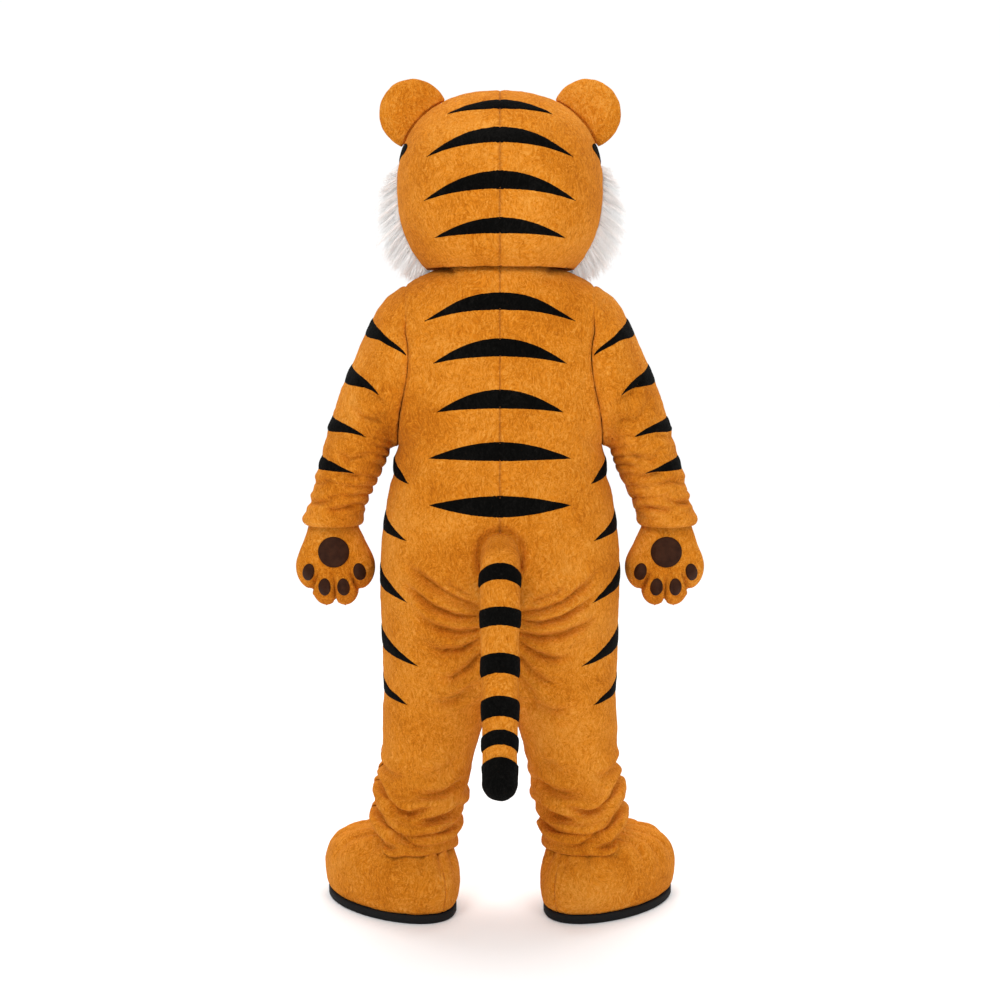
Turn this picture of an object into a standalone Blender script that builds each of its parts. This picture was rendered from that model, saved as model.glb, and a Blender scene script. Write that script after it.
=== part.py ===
"""Tiger mascot costume, standing as worn: hollow head, one-piece plush suit, paw gloves, tail, paw boots.

Metres, +Z up. The wearer's back faces -Y and the wearer's right is +X. Heights in the tables are above
the floor; every mesh is hung so that the place where the wearer's shoulders carry it is the origin.
"""
import bpy
import bmesh
from math import acos, asin, cos, pi, radians, sin, sqrt
from mathutils import Vector

for left_over in list(bpy.data.objects):
    bpy.data.objects.remove(left_over, do_unlink=True)

# driving dimensions
SHOULDERS = 1.470          # height of the carrying place above the floor
SUIT_WALL = 0.003          # long plush and its backing
HEAD_WALL = 0.009          # plush on a foam shell
GLOVE_WALL = 0.004
BOOT_WALL = 0.007
SEAM_GAP = 0.0004          # between two sewn panels
LIFT = 0.0013              # a sewn-on piece above its panel
WRAP_LIFT = 0.0034         # above a panel that turns round the body or arm
APPLIQUE = 0.0022          # thickness of a sewn-on stripe or pad
STEP = 5e-4                # for slopes of the surfaces

ORANGE = (0.78, 0.31, 0.06)
BLACK = (0.006, 0.007, 0.009)
WHITE = (0.86, 0.85, 0.82)
PAD_BROWN = (0.045, 0.015, 0.010)
SOLE_BLACK = (0.012, 0.012, 0.013)

# shape tables
SECTION_POWER = 2.25       # 2 is an ellipse, more is squarer

# height, outermost x, centre x of the leg lobe, depth behind, depth in front, middle y
BODY = (
    (1.360, 0.278, 0.000, 0.163, 0.158, 0.000),
    (1.280, 0.283, 0.000, 0.170, 0.168, 0.000),
    (1.190, 0.268, 0.000, 0.178, 0.180, 0.000),
    (1.100, 0.240, 0.000, 0.185, 0.193, 0.000),
    (1.040, 0.249, 0.000, 0.190, 0.202, 0.000),
    (0.960, 0.266, 0.000, 0.197, 0.208, 0.000),
    (0.860, 0.279, 0.000, 0.204, 0.209, 0.000),
    (0.760, 0.281, 0.000, 0.206, 0.200, 0.000),
    (0.680, 0.279, 0.010, 0.198, 0.185, 0.000),
    (0.620, 0.277, 0.050, 0.183, 0.170, 0.000),
    (0.570, 0.276, 0.095, 0.167, 0.158, -0.001),
    (0.530, 0.274, 0.138, 0.153, 0.147, -0.002),
    (0.470, 0.277, 0.153, 0.138, 0.132, -0.005),
    (0.400, 0.279, 0.165, 0.124, 0.118, -0.009),
    (0.330, 0.282, 0.176, 0.116, 0.110, -0.014),
    (0.270, 0.290, 0.188, 0.112, 0.107, -0.020),
    (0.210, 0.297, 0.199, 0.110, 0.106, -0.026),
    (0.140, 0.308, 0.208, 0.109, 0.105, -0.030),
)
CHEST = 1.360              # above this the panels roll over the shoulders
UNDERARM = 1.100
CROTCH = 0.530
CROTCH_ROWS = 0.600        # below this a stripe needs closer rows
ROLL = 0.62                # below 1, the upper back stays upright and turns over late
NECK_X, NECK_Y = 0.118, 0.110
NECK_TOP, SHOULDER_TOP, SHOULDER_X = 1.518, 1.468, 0.220
NECK_FLAT = 0.060          # the top is level this far out, then slopes to the shoulder
ARMHOLE_MIDDLE, ARMHOLE_RISE, ARMHOLE_DEPTH = 1.284, 0.184, 0.124

# slouched folds round the ankle: height at the outside, height lost towards the inside, bulge
SLOUCH = (
    (0.288, 0.020, 0.008),
    (0.226, 0.026, 0.010),
    (0.166, 0.010, 0.007),
)
SLOUCH_SPREAD = 0.017
HEM = 0.146                # lowest height of the trouser hem, which rides up over the boot
HEM_CLEARANCE = 0.008
HEM_REACH = 0.11           # share of a panel's width over which the hem feels the boot
LEG_START = 0.345          # below this the rows of a trouser panel close up towards the hem

# outer x and height, inner x and height, depth, middle y; the first row is the armhole
SLEEVE = (
    (0.222, 1.467, 0.242, 1.101, 0.128, 0.000),
    (0.264, 1.440, 0.253, 1.094, 0.126, 0.001),
    (0.304, 1.374, 0.259, 1.080, 0.119, 0.003),
    (0.344, 1.288, 0.266, 1.058, 0.110, 0.006),
    (0.384, 1.192, 0.278, 1.030, 0.101, 0.009),
    (0.413, 1.096, 0.291, 1.004, 0.093, 0.011),
    (0.434, 1.024, 0.305, 0.974, 0.086, 0.012),
    (0.449, 0.972, 0.316, 0.948, 0.080, 0.012),
    (0.461, 0.936, 0.324, 0.928, 0.077, 0.012),
    (0.462, 0.911, 0.327, 0.909, 0.074, 0.012),
)

HEAD = dict(middle=1.690, up=0.217, down=0.241, bottom=1.506, width=0.236, back=0.226, front=0.222,
            power=2.3)
HEAD_SIDE_SEAM = radians(-4)
CROWN_HOLE = radians(1.2)

EAR = dict(x=0.198, height=1.858, radius=0.079, depth=0.026, lean=radians(38), stand=1.03)
CHEEK = dict(start=radians(1), end=radians(58), top=1.728, bottom=1.512, reach=0.064, droop=0.30)
MUZZLE = dict(height=1.602, spread=radians(30), rise=0.078, reach=0.058)
NOSE = dict(height=1.640, spread=radians(7.5), rise=0.020, reach=0.016)
EYE = dict(height=1.716, turn=radians(22), spread=radians(6.5), rise=0.033, reach=0.008)

# glove: a flat pouch with a fan of four fingers round the middle of the palm
GLOVE = dict(x=0.389, middle=0.842, y=0.012, wrist=0.958, wrist_x=0.386, wrist_width=0.051,
             cuff_x=0.393, cuff_width=0.060, wrist_depth=0.050, stuffing=3.0, palm_depth=0.043,
             cuff=0.905, cuff_share=0.2, fan=radians(94))
# angle from straight down where a finger begins, its root distance, its tip distance; below 1 the
# last number brings the tip nearer to that first angle
FINGERS = ((0.0, 0.104, 0.124, 0.88), (34.0, 0.092, 0.104, 0.60), (94.0, 0.079, 0.079, 1.0))

BOOT = dict(x=0.256, y=0.008, yaw=radians(40), shaft_x=0.203, shaft_y=-0.036)
# height, length of half, half width, how far the middle has moved to the shaft
BOOT_ROWS = (
    (0.0205, 0.193, 0.124, 0.00),
    (0.045, 0.202, 0.131, 0.00),
    (0.085, 0.204, 0.133, 0.00),
    (0.122, 0.192, 0.126, 0.05),
    (0.152, 0.163, 0.111, 0.18),
    (0.173, 0.122, 0.094, 0.50),
    (0.188, 0.090, 0.083, 0.88),
    (0.225, 0.080, 0.079, 1.00),
)
BOOT_TAPER = 0.11
SOLE = dict(thickness=0.020, half_length=0.195, half_width=0.126)

# tail: y and height of its middle line, radius
TAIL = (
    (-0.200, 0.868, 0.043),
    (-0.243, 0.846, 0.044),
    (-0.273, 0.800, 0.044),
    (-0.289, 0.740, 0.043),
    (-0.303, 0.668, 0.041),
    (-0.326, 0.588, 0.040),
    (-0.355, 0.512, 0.038),
    (-0.394, 0.444, 0.037),
    (-0.421, 0.413, 0.036),
)
# where each black band starts and ends, as a share of the tail's length
TAIL_BANDS = ((0.155, 0.225), (0.325, 0.400), (0.500, 0.570), (0.643, 0.715), (0.762, 0.815))
BAND_ARCH = 0.013          # a band stands this share higher in the middle of the back than at its sides
TAIL_TIP = 0.862
TAIL_CLEARANCE = 0.009     # between the tail and the seat below its root

# back stripes: height of the middle, height lost at the tips, tip x, half height
BACK_STRIPES = (
    (1.430, 0.036, 0.168, 0.022),
    (1.328, 0.036, 0.149, 0.023),
    (1.214, 0.030, 0.141, 0.024),
    (1.098, 0.018, 0.159, 0.024),
    (0.976, 0.000, 0.158, 0.027),
)
# head stripes: height of the middle, height lost at the tips, tip x, half height
HEAD_STRIPES = (
    (1.857, 0.020, 0.116, 0.013),
    (1.786, 0.044, 0.160, 0.020),
    (1.688, 0.040, 0.166, 0.022),
    (1.592, 0.024, 0.144, 0.019),
)
# flank stripes: height at the side, height at the tips, angle to the tips, half height
FLANK_STRIPES = (
    (1.056, 1.020, 0.42, 0.024),
    (0.932, 0.892, 0.47, 0.026),
    (0.805, 0.752, 0.49, 0.030),
    (0.658, 0.606, 0.55, 0.030),
    (0.546, 0.512, 0.34, 0.024),
)
# sleeve stripes: level at the outside, level at the tips, angle to the tips, half width in levels
SLEEVE_STRIPES = (
    (1.95, 0.25, 1.36, 0.25),
    (3.20, 1.80, 1.66, 0.22),
    (4.40, 3.40, 1.72, 0.18),
    (5.45, 5.00, 1.76, 0.24),
)


# helpers
def read(table, place):
    """The columns of a table at a place in its first column, on a smooth curve through the rows."""
    rows = table if table[0][0] < table[-1][0] else tuple(reversed(table))
    place = min(max(place, rows[0][0]), rows[-1][0])
    k = 0
    while k < len(rows) - 2 and place > rows[k + 1][0]:
        k += 1
    here, there = rows[k], rows[k + 1]
    before, after = rows[max(k - 1, 0)], rows[min(k + 2, len(rows) - 1)]
    span = there[0] - here[0]
    t = (place - here[0]) / span
    values = []
    for c in range(1, len(here)):
        slope_here = (there[c] - before[c]) / (there[0] - before[0])
        slope_there = (after[c] - here[c]) / (after[0] - here[0])
        values.append((2 * t**3 - 3 * t**2 + 1) * here[c] + (t**3 - 2 * t**2 + t) * span * slope_here
                      + (3 * t**2 - 2 * t**3) * there[c] + (t**3 - t**2) * span * slope_there)
    return values


def curved(value, power):
    """A sine or cosine raised to a power with its sign kept."""
    return (1 if value >= 0 else -1) * abs(value) ** power


def ease(t):
    t = min(max(t, 0.0), 1.0)
    return t * t * (3 - 2 * t)


def spaced(start, end, count):
    return [start + (end - start) * k / count for k in range(count + 1)]


def normal_at(surface, u, v, outward):
    """Unit normal of surface(u, v); outward is 1 or -1."""
    across = surface(u + STEP, v) - surface(u - STEP, v)
    along = surface(u, v + STEP) - surface(u, v - STEP)
    return across.cross(along).normalized() * outward


def material(name, colour, roughness):
    made = bpy.data.materials.new(name)
    made.use_nodes = True
    shader = made.node_tree.nodes["Principled BSDF"]
    shader.inputs["Base Color"].default_value = (*colour, 1)
    shader.inputs["Roughness"].default_value = roughness
    shader.inputs["Metallic"].default_value = 0.0
    made.diffuse_color = (*colour, 1)
    return made


def add_object(name, points, faces, colour, roughness=0.9):
    """One closed body from points above the floor, hung from the wearer's shoulders."""
    mesh = bpy.data.meshes.new(name)
    mesh.from_pydata([(p.x, p.y, p.z - SHOULDERS) for p in points], [], faces)
    work = bmesh.new()
    work.from_mesh(mesh)
    bmesh.ops.remove_doubles(work, verts=work.verts, dist=1e-6)
    bmesh.ops.recalc_face_normals(work, faces=work.faces)
    work.to_mesh(mesh)
    work.free()
    mesh.shade_smooth()
    mesh.set_sharp_from_angle(angle=radians(40))
    made = bpy.data.objects.new(name, mesh)
    made.data.materials.append(material(name + "_finish", colour, roughness))
    bpy.context.scene.collection.objects.link(made)
    return made


def shell(name, outer, inner, colour, wrap=False, roughness=0.9):
    """A wall between two grids of points, closed along its edges."""
    rows, columns = len(outer), len(outer[0])
    points = [p for row in outer for p in row] + [p for row in inner for p in row]
    half = rows * columns

    def at(r, c, side):
        return side * half + r * columns + c % columns
    faces = []
    spans = columns if wrap else columns - 1
    for r in range(rows - 1):
        for c in range(spans):
            faces.append((at(r, c, 0), at(r, c + 1, 0), at(r + 1, c + 1, 0), at(r + 1, c, 0)))
            faces.append((at(r, c, 1), at(r + 1, c, 1), at(r + 1, c + 1, 1), at(r, c + 1, 1)))
    for r in (0, rows - 1):
        for c in range(spans):
            faces.append((at(r, c, 0), at(r, c, 1), at(r, c + 1, 1), at(r, c + 1, 0)))
    if not wrap:
        for c in (0, columns - 1):
            for r in range(rows - 1):
                faces.append((at(r, c, 0), at(r + 1, c, 0), at(r + 1, c, 1), at(r, c, 1)))
    return add_object(name, points, faces, colour, roughness)


def stuffed(name, rings, colour, start=None, end=None, roughness=0.9):
    """A closed body through rings of points; start and end are end points, or None for a flat end."""
    count = len(rings[0])
    points = [p for ring in rings for p in ring]
    faces = []
    for r in range(len(rings) - 1):
        for c in range(count):
            d = (c + 1) % count
            faces.append((r * count + c, r * count + d, (r + 1) * count + d, (r + 1) * count + c))
    for tip, first in ((start, 0), (end, (len(rings) - 1) * count)):
        middle = tip or sum(rings[first // count], Vector()) / count
        points.append(middle)
        faces += [(first + c, first + (c + 1) % count, len(points) - 1) for c in range(count)]
    return add_object(name, points, faces, colour, roughness)


def wall_grids(surface, places, wall, outward, wrap=False, top_seam=False, upright_start=False):
    """Outer and inner grids of a panel from rows of (u, v), with its edges drawn back from the seams."""
    outer = [[surface(u, v) for u, v in row] for row in places]
    normals = [[normal_at(surface, u, v, outward) for u, v in row] for row in places]
    if not wrap:
        for row in outer:
            for end, beside in ((0, 1), (-1, -2)):
                row[end] = row[end] + (row[beside] - row[end]).normalized() * SEAM_GAP / 2
    if top_seam:
        outer[0] = [p + (q - p).normalized() * SEAM_GAP / 2 for p, q in zip(outer[0], outer[1])]
        normals[0] = [Vector((n.x, 0, n.z)).normalized() for n in normals[0]]
    if upright_start:
        normals[0] = [Vector((0, n.y, n.z)).normalized() for n in normals[0]]
    inner = [[p - n * wall for p, n in zip(row, ns)] for row, ns in zip(outer, normals)]
    return outer, inner


def even(count):
    """Shares from -1 to 1 that crowd towards both ends."""
    return [-cos(pi * k / count) for k in range(count + 1)]


def on_ring(ring, reach):
    """Shares from -1 to 1 of a reach that fall on the edges of the facets below."""
    inside = [place / reach for place in ring if 0 < place < reach * 0.96]
    return [-1] + [-s for s in reversed(inside)] + [0] + inside + [1]


def laid(name, surface, rows, outward, colour, height, lift=LIFT, roughness=0.9):
    """A piece sewn on a panel: rows of (u, v) places, raised off the panel by lift, then by height."""
    under, over = [], []
    for row in rows:
        low, high = [], []
        for u, v, share in row:
            n = normal_at(surface, u, v, outward)
            p = surface(u, v)
            low.append(p + n * lift)
            high.append(p + n * (lift + height * share))
        under.append(low)
        over.append(high)
    return shell(name, over, under, colour, roughness=roughness)


def leaf_rows(stations, profile, place, across=(-1, 1), crown=None):
    """Rows for laid(): place(s, t) turns a share along and a share across into (u, v)."""
    rows = []
    for t in across:
        rows.append([(*place(s, t * max(profile(s), 0.02)), crown(s, t) if crown else 1.0)
                     for s in stations])
    return rows


# surfaces of the suit
def slouch(angle, height):
    """How far the ankle folds push the leg out; angle is 0 at the outside of the leg."""
    push = 0.0
    inside = (1 - cos(angle)) / 2
    for middle, drop, bulge in SLOUCH:
        gap = (height - middle + drop * inside) / SLOUCH_SPREAD
        push += bulge * 2.718281828 ** (-gap * gap)
    return push


def armhole_depth(height):
    share = (height - ARMHOLE_MIDDLE) / ARMHOLE_RISE
    return ARMHOLE_DEPTH * sqrt(max(1 - share * share, 0.0))


def section(side, face, u, height):
    """A point round the suit: face -1 behind, 1 in front; u 0 at the middle or inside leg, 1 at the side."""
    outer, lobe, behind, before, middle = read(BODY, height)
    lobe = max(lobe, 0.0)
    depth = behind if face < 0 else before
    width = outer - lobe
    start = acos(-min(lobe / width, 1.0) ** (SECTION_POWER / 2)) if lobe > 0 else pi / 2
    end = 0.0
    if height > UNDERARM:
        end = asin(min(armhole_depth(height) / depth, 1.0) ** (SECTION_POWER / 2))
    angle = start + (end - start) * u
    bulge = slouch(angle, height)
    x = lobe + (width + bulge) * curved(cos(angle), 2 / SECTION_POWER)
    y = middle + face * (depth + bulge) * abs(sin(angle)) ** (2 / SECTION_POWER)
    return Vector((side * x, y, height))


def shoulder_seam(side, face, u):
    """The neckline and then the shoulder seam, u 0 at the middle and 1 at the armhole."""
    x = SHOULDER_X * sin(u * pi / 2)
    y = face * NECK_Y * sqrt(max(1 - (x / NECK_X) ** 2, 0.0))
    slope = max((x - NECK_FLAT) / (SHOULDER_X - NECK_FLAT), 0.0) ** 2.2
    return Vector((side * x, y, NECK_TOP + (SHOULDER_TOP - NECK_TOP) * slope))


def torso(side, face, u, v):
    """v 0 to 1 rolls from the shoulder seam down to the chest; past 1 it is metres below the chest."""
    if v >= 1:
        return section(side, face, u, CHEST - (v - 1))
    chest, top = section(side, face, u, CHEST), shoulder_seam(side, face, u)
    roll = (1 - max(v, 0.0)) * pi / 2
    rise, inward = sin(roll) ** ROLL, cos(roll) ** ROLL
    return Vector((top.x + (chest.x - top.x) * inward, top.y + (chest.y - top.y) * inward,
                   chest.z + (top.z - chest.z) * rise))


def level_of(height):
    """The torso's v on its armhole edge at a height."""
    if height <= CHEST:
        return 1 + CHEST - height
    return 1 - asin(min((height - CHEST) / (SHOULDER_TOP - CHEST), 1.0) ** (1 / ROLL)) * 2 / pi


def boot_row(height):
    """The boot's half length, half width and move towards the shaft at a height."""
    return read(BOOT_ROWS, height)


def boot_frame(side, height, moved):
    ahead = Vector((side * sin(BOOT["yaw"]), cos(BOOT["yaw"]), 0))
    across = Vector((side * ahead.y, -side * ahead.x, 0))
    base = Vector((side * BOOT["x"], BOOT["y"], height))
    shaft = Vector((side * BOOT["shaft_x"], BOOT["shaft_y"], height))
    return base.lerp(shaft, moved), ahead, across


def boot_top(x, y):
    """The height of the boot's upper over a place beside the right ankle."""
    low, high = BOOT_ROWS[0][0], BOOT_ROWS[-1][0]
    for _ in range(16):
        height = (low + high) / 2
        half_length, half_width, moved = boot_row(height)
        middle, ahead, across = boot_frame(1, height, moved)
        away = Vector((x, y, height)) - middle
        along = away.dot(ahead) / half_length
        taper = 1 + BOOT_TAPER * (1 - moved) * min(max(along, -1), 1)
        if along ** 2 + (away.dot(across) / half_width / taper) ** 2 < 1:
            low = height
        else:
            high = height
    return low


def hem_height(face, u):
    """The hem hangs at its own height, or rides over the boot where the boot stands higher."""
    height = HEM
    for _ in range(4):
        tops = []
        for beside in (-HEM_REACH, 0, HEM_REACH):
            edge = section(1, face, min(max(u + beside, 0), 1), height)
            tops.append(boot_top(edge.x, edge.y))
        height = max(HEM, max(tops) + HEM_CLEARANCE)
    return height


SLEEVE_LEVELS = tuple((k, *row) for k, row in enumerate(SLEEVE))


def sleeve(side, angle, level):
    """angle 0 along the outside of the arm, positive to the back; level counts the rows of SLEEVE."""
    outer_x, outer_z, inner_x, inner_z, depth, middle = read(SLEEVE_LEVELS, level)
    out = Vector((outer_x, middle, outer_z))
    inn = Vector((inner_x, middle, inner_z))
    point = (out + inn) / 2 + (out - inn) / 2 * cos(angle) + Vector((0, -depth * sin(angle), 0))
    if level < 1:
        height = ARMHOLE_MIDDLE + ARMHOLE_RISE * cos(angle)
        edge = torso(1, -1 if sin(angle) > 0 else 1, 1.0, level_of(height))
        edge = Vector((edge.x + 0.0012, edge.y, edge.z))
        point = edge.lerp(point, sin(level * pi / 2))
    return Vector((side * point.x, point.y, point.z))


def head(side, angle, polar):
    """angle 0 at the side, positive to the front; polar 0 at the crown."""
    rise, round_ = curved(cos(polar), 2 / HEAD["power"]), abs(sin(polar)) ** (2 / HEAD["power"])
    z = HEAD["middle"] + rise * (HEAD["up"] if rise > 0 else HEAD["down"])
    depth = HEAD["front"] if sin(angle) > 0 else HEAD["back"]
    x = HEAD["width"] * round_ * curved(cos(angle), 2 / SECTION_POWER)
    y = depth * round_ * curved(sin(angle), 2 / SECTION_POWER)
    return Vector((side * x, y, z))


def polar_of(height):
    """The head's polar angle at a height."""
    rise = (height - HEAD["middle"]) / (HEAD["up"] if height > HEAD["middle"] else HEAD["down"])
    return acos(curved(max(min(rise, 1.0), -1.0), HEAD["power"] / 2))


def outside_head(point):
    """Above 1 outside the head, below 1 inside it."""
    depth = HEAD["front"] if point.y > 0 else HEAD["back"]
    rise = point.z - HEAD["middle"]
    around = (abs(point.x / HEAD["width"]) ** SECTION_POWER + abs(point.y / depth) ** SECTION_POWER)
    up = abs(rise / (HEAD["up"] if rise > 0 else HEAD["down"])) ** HEAD["power"]
    return around ** (HEAD["power"] / SECTION_POWER) + up


def seat(x, height):
    """y of the suit's back at a place behind."""
    outer, _, behind, _, middle = read(BODY, height)
    return middle - behind * (1 - min(abs(x) / outer, 1.0) ** SECTION_POWER) ** (1 / SECTION_POWER)


def tail(angle, share):
    """A point round the tail, share 0 at the root and 1 at its rounded end."""
    place = share * (len(TAIL) - 1)
    levels = tuple((k, *row) for k, row in enumerate(TAIL))
    y, z, radius = read(levels, place)
    ahead, behind = read(levels, place + 0.05), read(levels, place - 0.05)
    along = Vector((0, ahead[0] - behind[0], ahead[1] - behind[1])).normalized()
    under = Vector((0, -along.z, along.y))
    point = Vector((radius * cos(angle), y, z)) + under * radius * sin(angle)
    point.y = min(point.y, seat(point.x, point.z) - TAIL_CLEARANCE)
    return point


# the pieces
SIDES = (("left", -1), ("right", 1))
ARMHOLE_LEVELS = (0.0, 0.25, 0.55, 0.8, 1.0) + tuple(1 + CHEST - z for z in (1.29, 1.21, 1.15, UNDERARM))
TRUNK_HEIGHTS = (1.06, 1.00, 0.92, 0.83, 0.74, 0.67, 0.615, 0.573, 0.549, CROTCH, 0.50, 0.45, 0.40,
                 LEG_START)
COLUMNS = spaced(0, 1, 6)
LEG_SHARES = (0.16, 0.29, 0.42, 0.60, 0.76, 0.89, 1.0)


def make_suit():
    """Four panels, each from the neckline to the ankle."""
    for word, side in SIDES:
        for place, face in (("back", -1), ("front", 1)):
            def surface(u, v):
                return torso(side, face, u, v)
            levels = list(ARMHOLE_LEVELS) + [1 + CHEST - z for z in TRUNK_HEIGHTS]
            places = [[(u, v) for u in COLUMNS] for v in levels]
            hems = [hem_height(face, u) for u in COLUMNS]
            for share in LEG_SHARES:
                places.append([(u, 1 + CHEST - (LEG_START + (hem - LEG_START) * share))
                               for u, hem in zip(COLUMNS, hems)])
            outer, inner = wall_grids(surface, places, SUIT_WALL, side * face, top_seam=True)
            shell(f"suit_{place}_{word}", outer, inner, ORANGE)


def armhole_angles():
    """The sleeve's angles behind, from the shoulder to the underarm, at the points of the armhole."""
    heights = [torso(1, -1, 1.0, v).z for v in ARMHOLE_LEVELS]
    return [acos(max(min((z - ARMHOLE_MIDDLE) / ARMHOLE_RISE, 1), -1)) for z in heights]


def make_sleeves():
    """Each sleeve starts on the points of its armhole."""
    behind = armhole_angles()
    angles = behind + [2 * pi - a for a in reversed(behind[1:-1])]
    for word, side in SIDES:
        def surface(angle, level):
            return sleeve(side, angle, level)
        places = [[(a, level) for a in angles] for level in (0.001, 0.5, 1, 2, 3, 4, 5, 6, 7, 8, 9)]
        outer, inner = wall_grids(surface, places, SUIT_WALL, side, wrap=True, upright_start=True)
        shell(f"sleeve_{word}", outer, inner, ORANGE, wrap=True)


def front_of_head(turn, polar):
    """turn 0 at the middle of the face, positive to the wearer's right."""
    return head(1 if turn > 0 else -1, pi / 2 - abs(turn), polar)


def make_head():
    """Two back panels with a centre seam, and the front in one piece."""
    polars = [CROWN_HOLE] + [polar_of(z) for z in (1.893, 1.862, 1.815, 1.755, 1.690, 1.625, 1.565, 1.530)]
    polars.append(polar_of(HEAD["bottom"]))
    for word, side in SIDES:
        def surface(angle, polar):
            return head(side, angle, polar)
        places = [[(a, polar) for a in spaced(-pi / 2, HEAD_SIDE_SEAM, 6)] for polar in polars]
        outer, inner = wall_grids(surface, places, HEAD_WALL, -side)
        shell(f"head_back_{word}", outer, inner, ORANGE)
    reach = pi / 2 - HEAD_SIDE_SEAM
    places = [[(a, polar) for a in spaced(-reach, reach, 12)] for polar in polars]
    outer, inner = wall_grids(front_of_head, places, HEAD_WALL, 1)
    shell("head_front", outer, inner, ORANGE)


def make_ears():
    """Round stuffed ears, flat front to back, that stand on the head."""
    around, steps = 10, 5
    for word, side in SIDES:
        middle = Vector((side * EAR["x"], 0.0, EAR["height"]))
        out = Vector((side * sin(EAR["lean"]), 0.0, cos(EAR["lean"])))
        across = Vector((out.z, 0, -out.x))
        foot = middle.copy()
        while outside_head(foot) > EAR["stand"]:
            foot = foot - out * 0.0005
        rings = []
        for k in range(steps):
            reach = EAR["radius"] * (-0.62 + 1.56 * k / (steps - 1))
            half = sqrt(EAR["radius"] ** 2 - reach ** 2)
            depth = EAR["depth"] * (half / EAR["radius"]) ** 0.6
            ring = []
            for j in range(around):
                turn = 2 * pi * j / around
                point = middle + out * reach + across * half * cos(turn) + Vector((0, depth * sin(turn), 0))
                if k == 0:
                    while outside_head(point) > EAR["stand"]:
                        point = point - out * 0.0005
                    while outside_head(point) < EAR["stand"]:
                        point = point + out * 0.0005
                ring.append(point)
            rings.append(ring)
        stuffed(f"ear_{word}", rings, ORANGE, start=foot, end=middle + out * EAR["radius"])


def make_cheeks():
    """The reach of the long white fur on the cheeks."""
    for word, side in SIDES:
        def surface(angle, polar):
            return head(side, angle, polar)
        under, over = [], []
        for z in spaced(CHEEK["top"], CHEEK["bottom"], 6):
            down = (CHEEK["top"] - z) / (CHEEK["top"] - CHEEK["bottom"])
            low, high = [], []
            for angle in spaced(CHEEK["start"], CHEEK["end"], 6):
                turn = (angle - CHEEK["start"]) / (CHEEK["end"] - CHEEK["start"])
                thick = 0.004 + CHEEK["reach"] * sin(pi * down * 0.92) ** 0.75 * (1 - turn) ** 0.5
                polar = polar_of(z)
                n = normal_at(surface, angle, polar, -side)
                p = surface(angle, polar)
                low.append(p + n * 2 * LIFT)
                high.append(p + n * (2 * LIFT + thick) - Vector((0, 0, CHEEK["droop"] * thick * down)))
            under.append(low)
            over.append(high)
        shell(f"cheek_fur_{word}", over, under, WHITE)


def make_face():
    """A plain tiger face: muzzle, nose and two eyes."""
    def dome(name, turn, shape, across, colour, lift, roughness):
        def place(s, t):
            return turn + s * shape["spread"], polar_of(shape["height"] + t * shape["rise"])

        def crown(s, t):
            return 0.06 + 0.94 * sqrt(max(1 - s * s, 0)) * sqrt(max(1 - t * t, 0))
        rows = leaf_rows(even(8), lambda s: sqrt(max(1 - s * s, 0.0)), place, across, crown)
        laid(name, front_of_head, rows, 1, colour, shape["reach"], lift, roughness)
    wide = (-1, -0.8, -0.4, 0, 0.4, 0.8, 1)
    dome("muzzle", 0.0, MUZZLE, wide, WHITE, WRAP_LIFT, 0.9)
    dome("nose", 0.0, NOSE, (-1, 0, 1), BLACK, WRAP_LIFT * 2 + MUZZLE["reach"], 0.4)
    for word, side in SIDES:
        dome(f"eye_{word}", side * EYE["turn"], EYE, (-1, 0, 1), BLACK, WRAP_LIFT, 0.2)


def glove_edge(share):
    """Distance from the palm's middle to the edge of the fan; share -1 to 1 across it."""
    angle = abs(share) * GLOVE["fan"] * 180 / pi
    for (start, root, tip, skew), (stop, next_root, _, _) in zip(FINGERS, FINGERS[1:]):
        if angle <= stop:
            t = (angle - start) / (stop - start)
            base = root + (next_root - root) * t
            return base + (tip - (root + next_root) / 2) * max(sin(pi * t ** skew), 0.0) ** 0.6
    return FINGERS[-1][1]


def glove(side, share, v, face, wall=0.0):
    """share -1 to 1 across, v 0 at the wrist and 1 at the fingertips, face -1 for the palm."""
    flow = max(v - GLOVE["cuff_share"], 0.0) / (1 - GLOVE["cuff_share"])
    into_cuff = min(v / GLOVE["cuff_share"], 1.0)
    wall *= 1 + GLOVE["stuffing"] * flow
    turn = share * GLOVE["fan"]
    edge = glove_edge(share) - wall
    width = GLOVE["wrist_width"] + (GLOVE["cuff_width"] - GLOVE["wrist_width"]) * into_cuff - wall
    x = GLOVE["wrist_x"] + (GLOVE["cuff_x"] - GLOVE["wrist_x"]) * into_cuff + share * width
    z = GLOVE["wrist"] + (GLOVE["cuff"] - GLOVE["wrist"]) * into_cuff
    x += (GLOVE["x"] + sin(turn) * edge - x) * flow
    z += (GLOVE["middle"] - cos(turn) * edge - z) * flow
    depth = (GLOVE["wrist_depth"] + (GLOVE["palm_depth"] - GLOVE["wrist_depth"]) * ease(v)) - wall
    depth *= sqrt(max(1 - abs(share) ** 2.2, 0.0)) * max(1 - v ** 5, 0.0) ** 0.5
    return Vector((side * x, GLOVE["y"] + face * depth, z))


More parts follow.
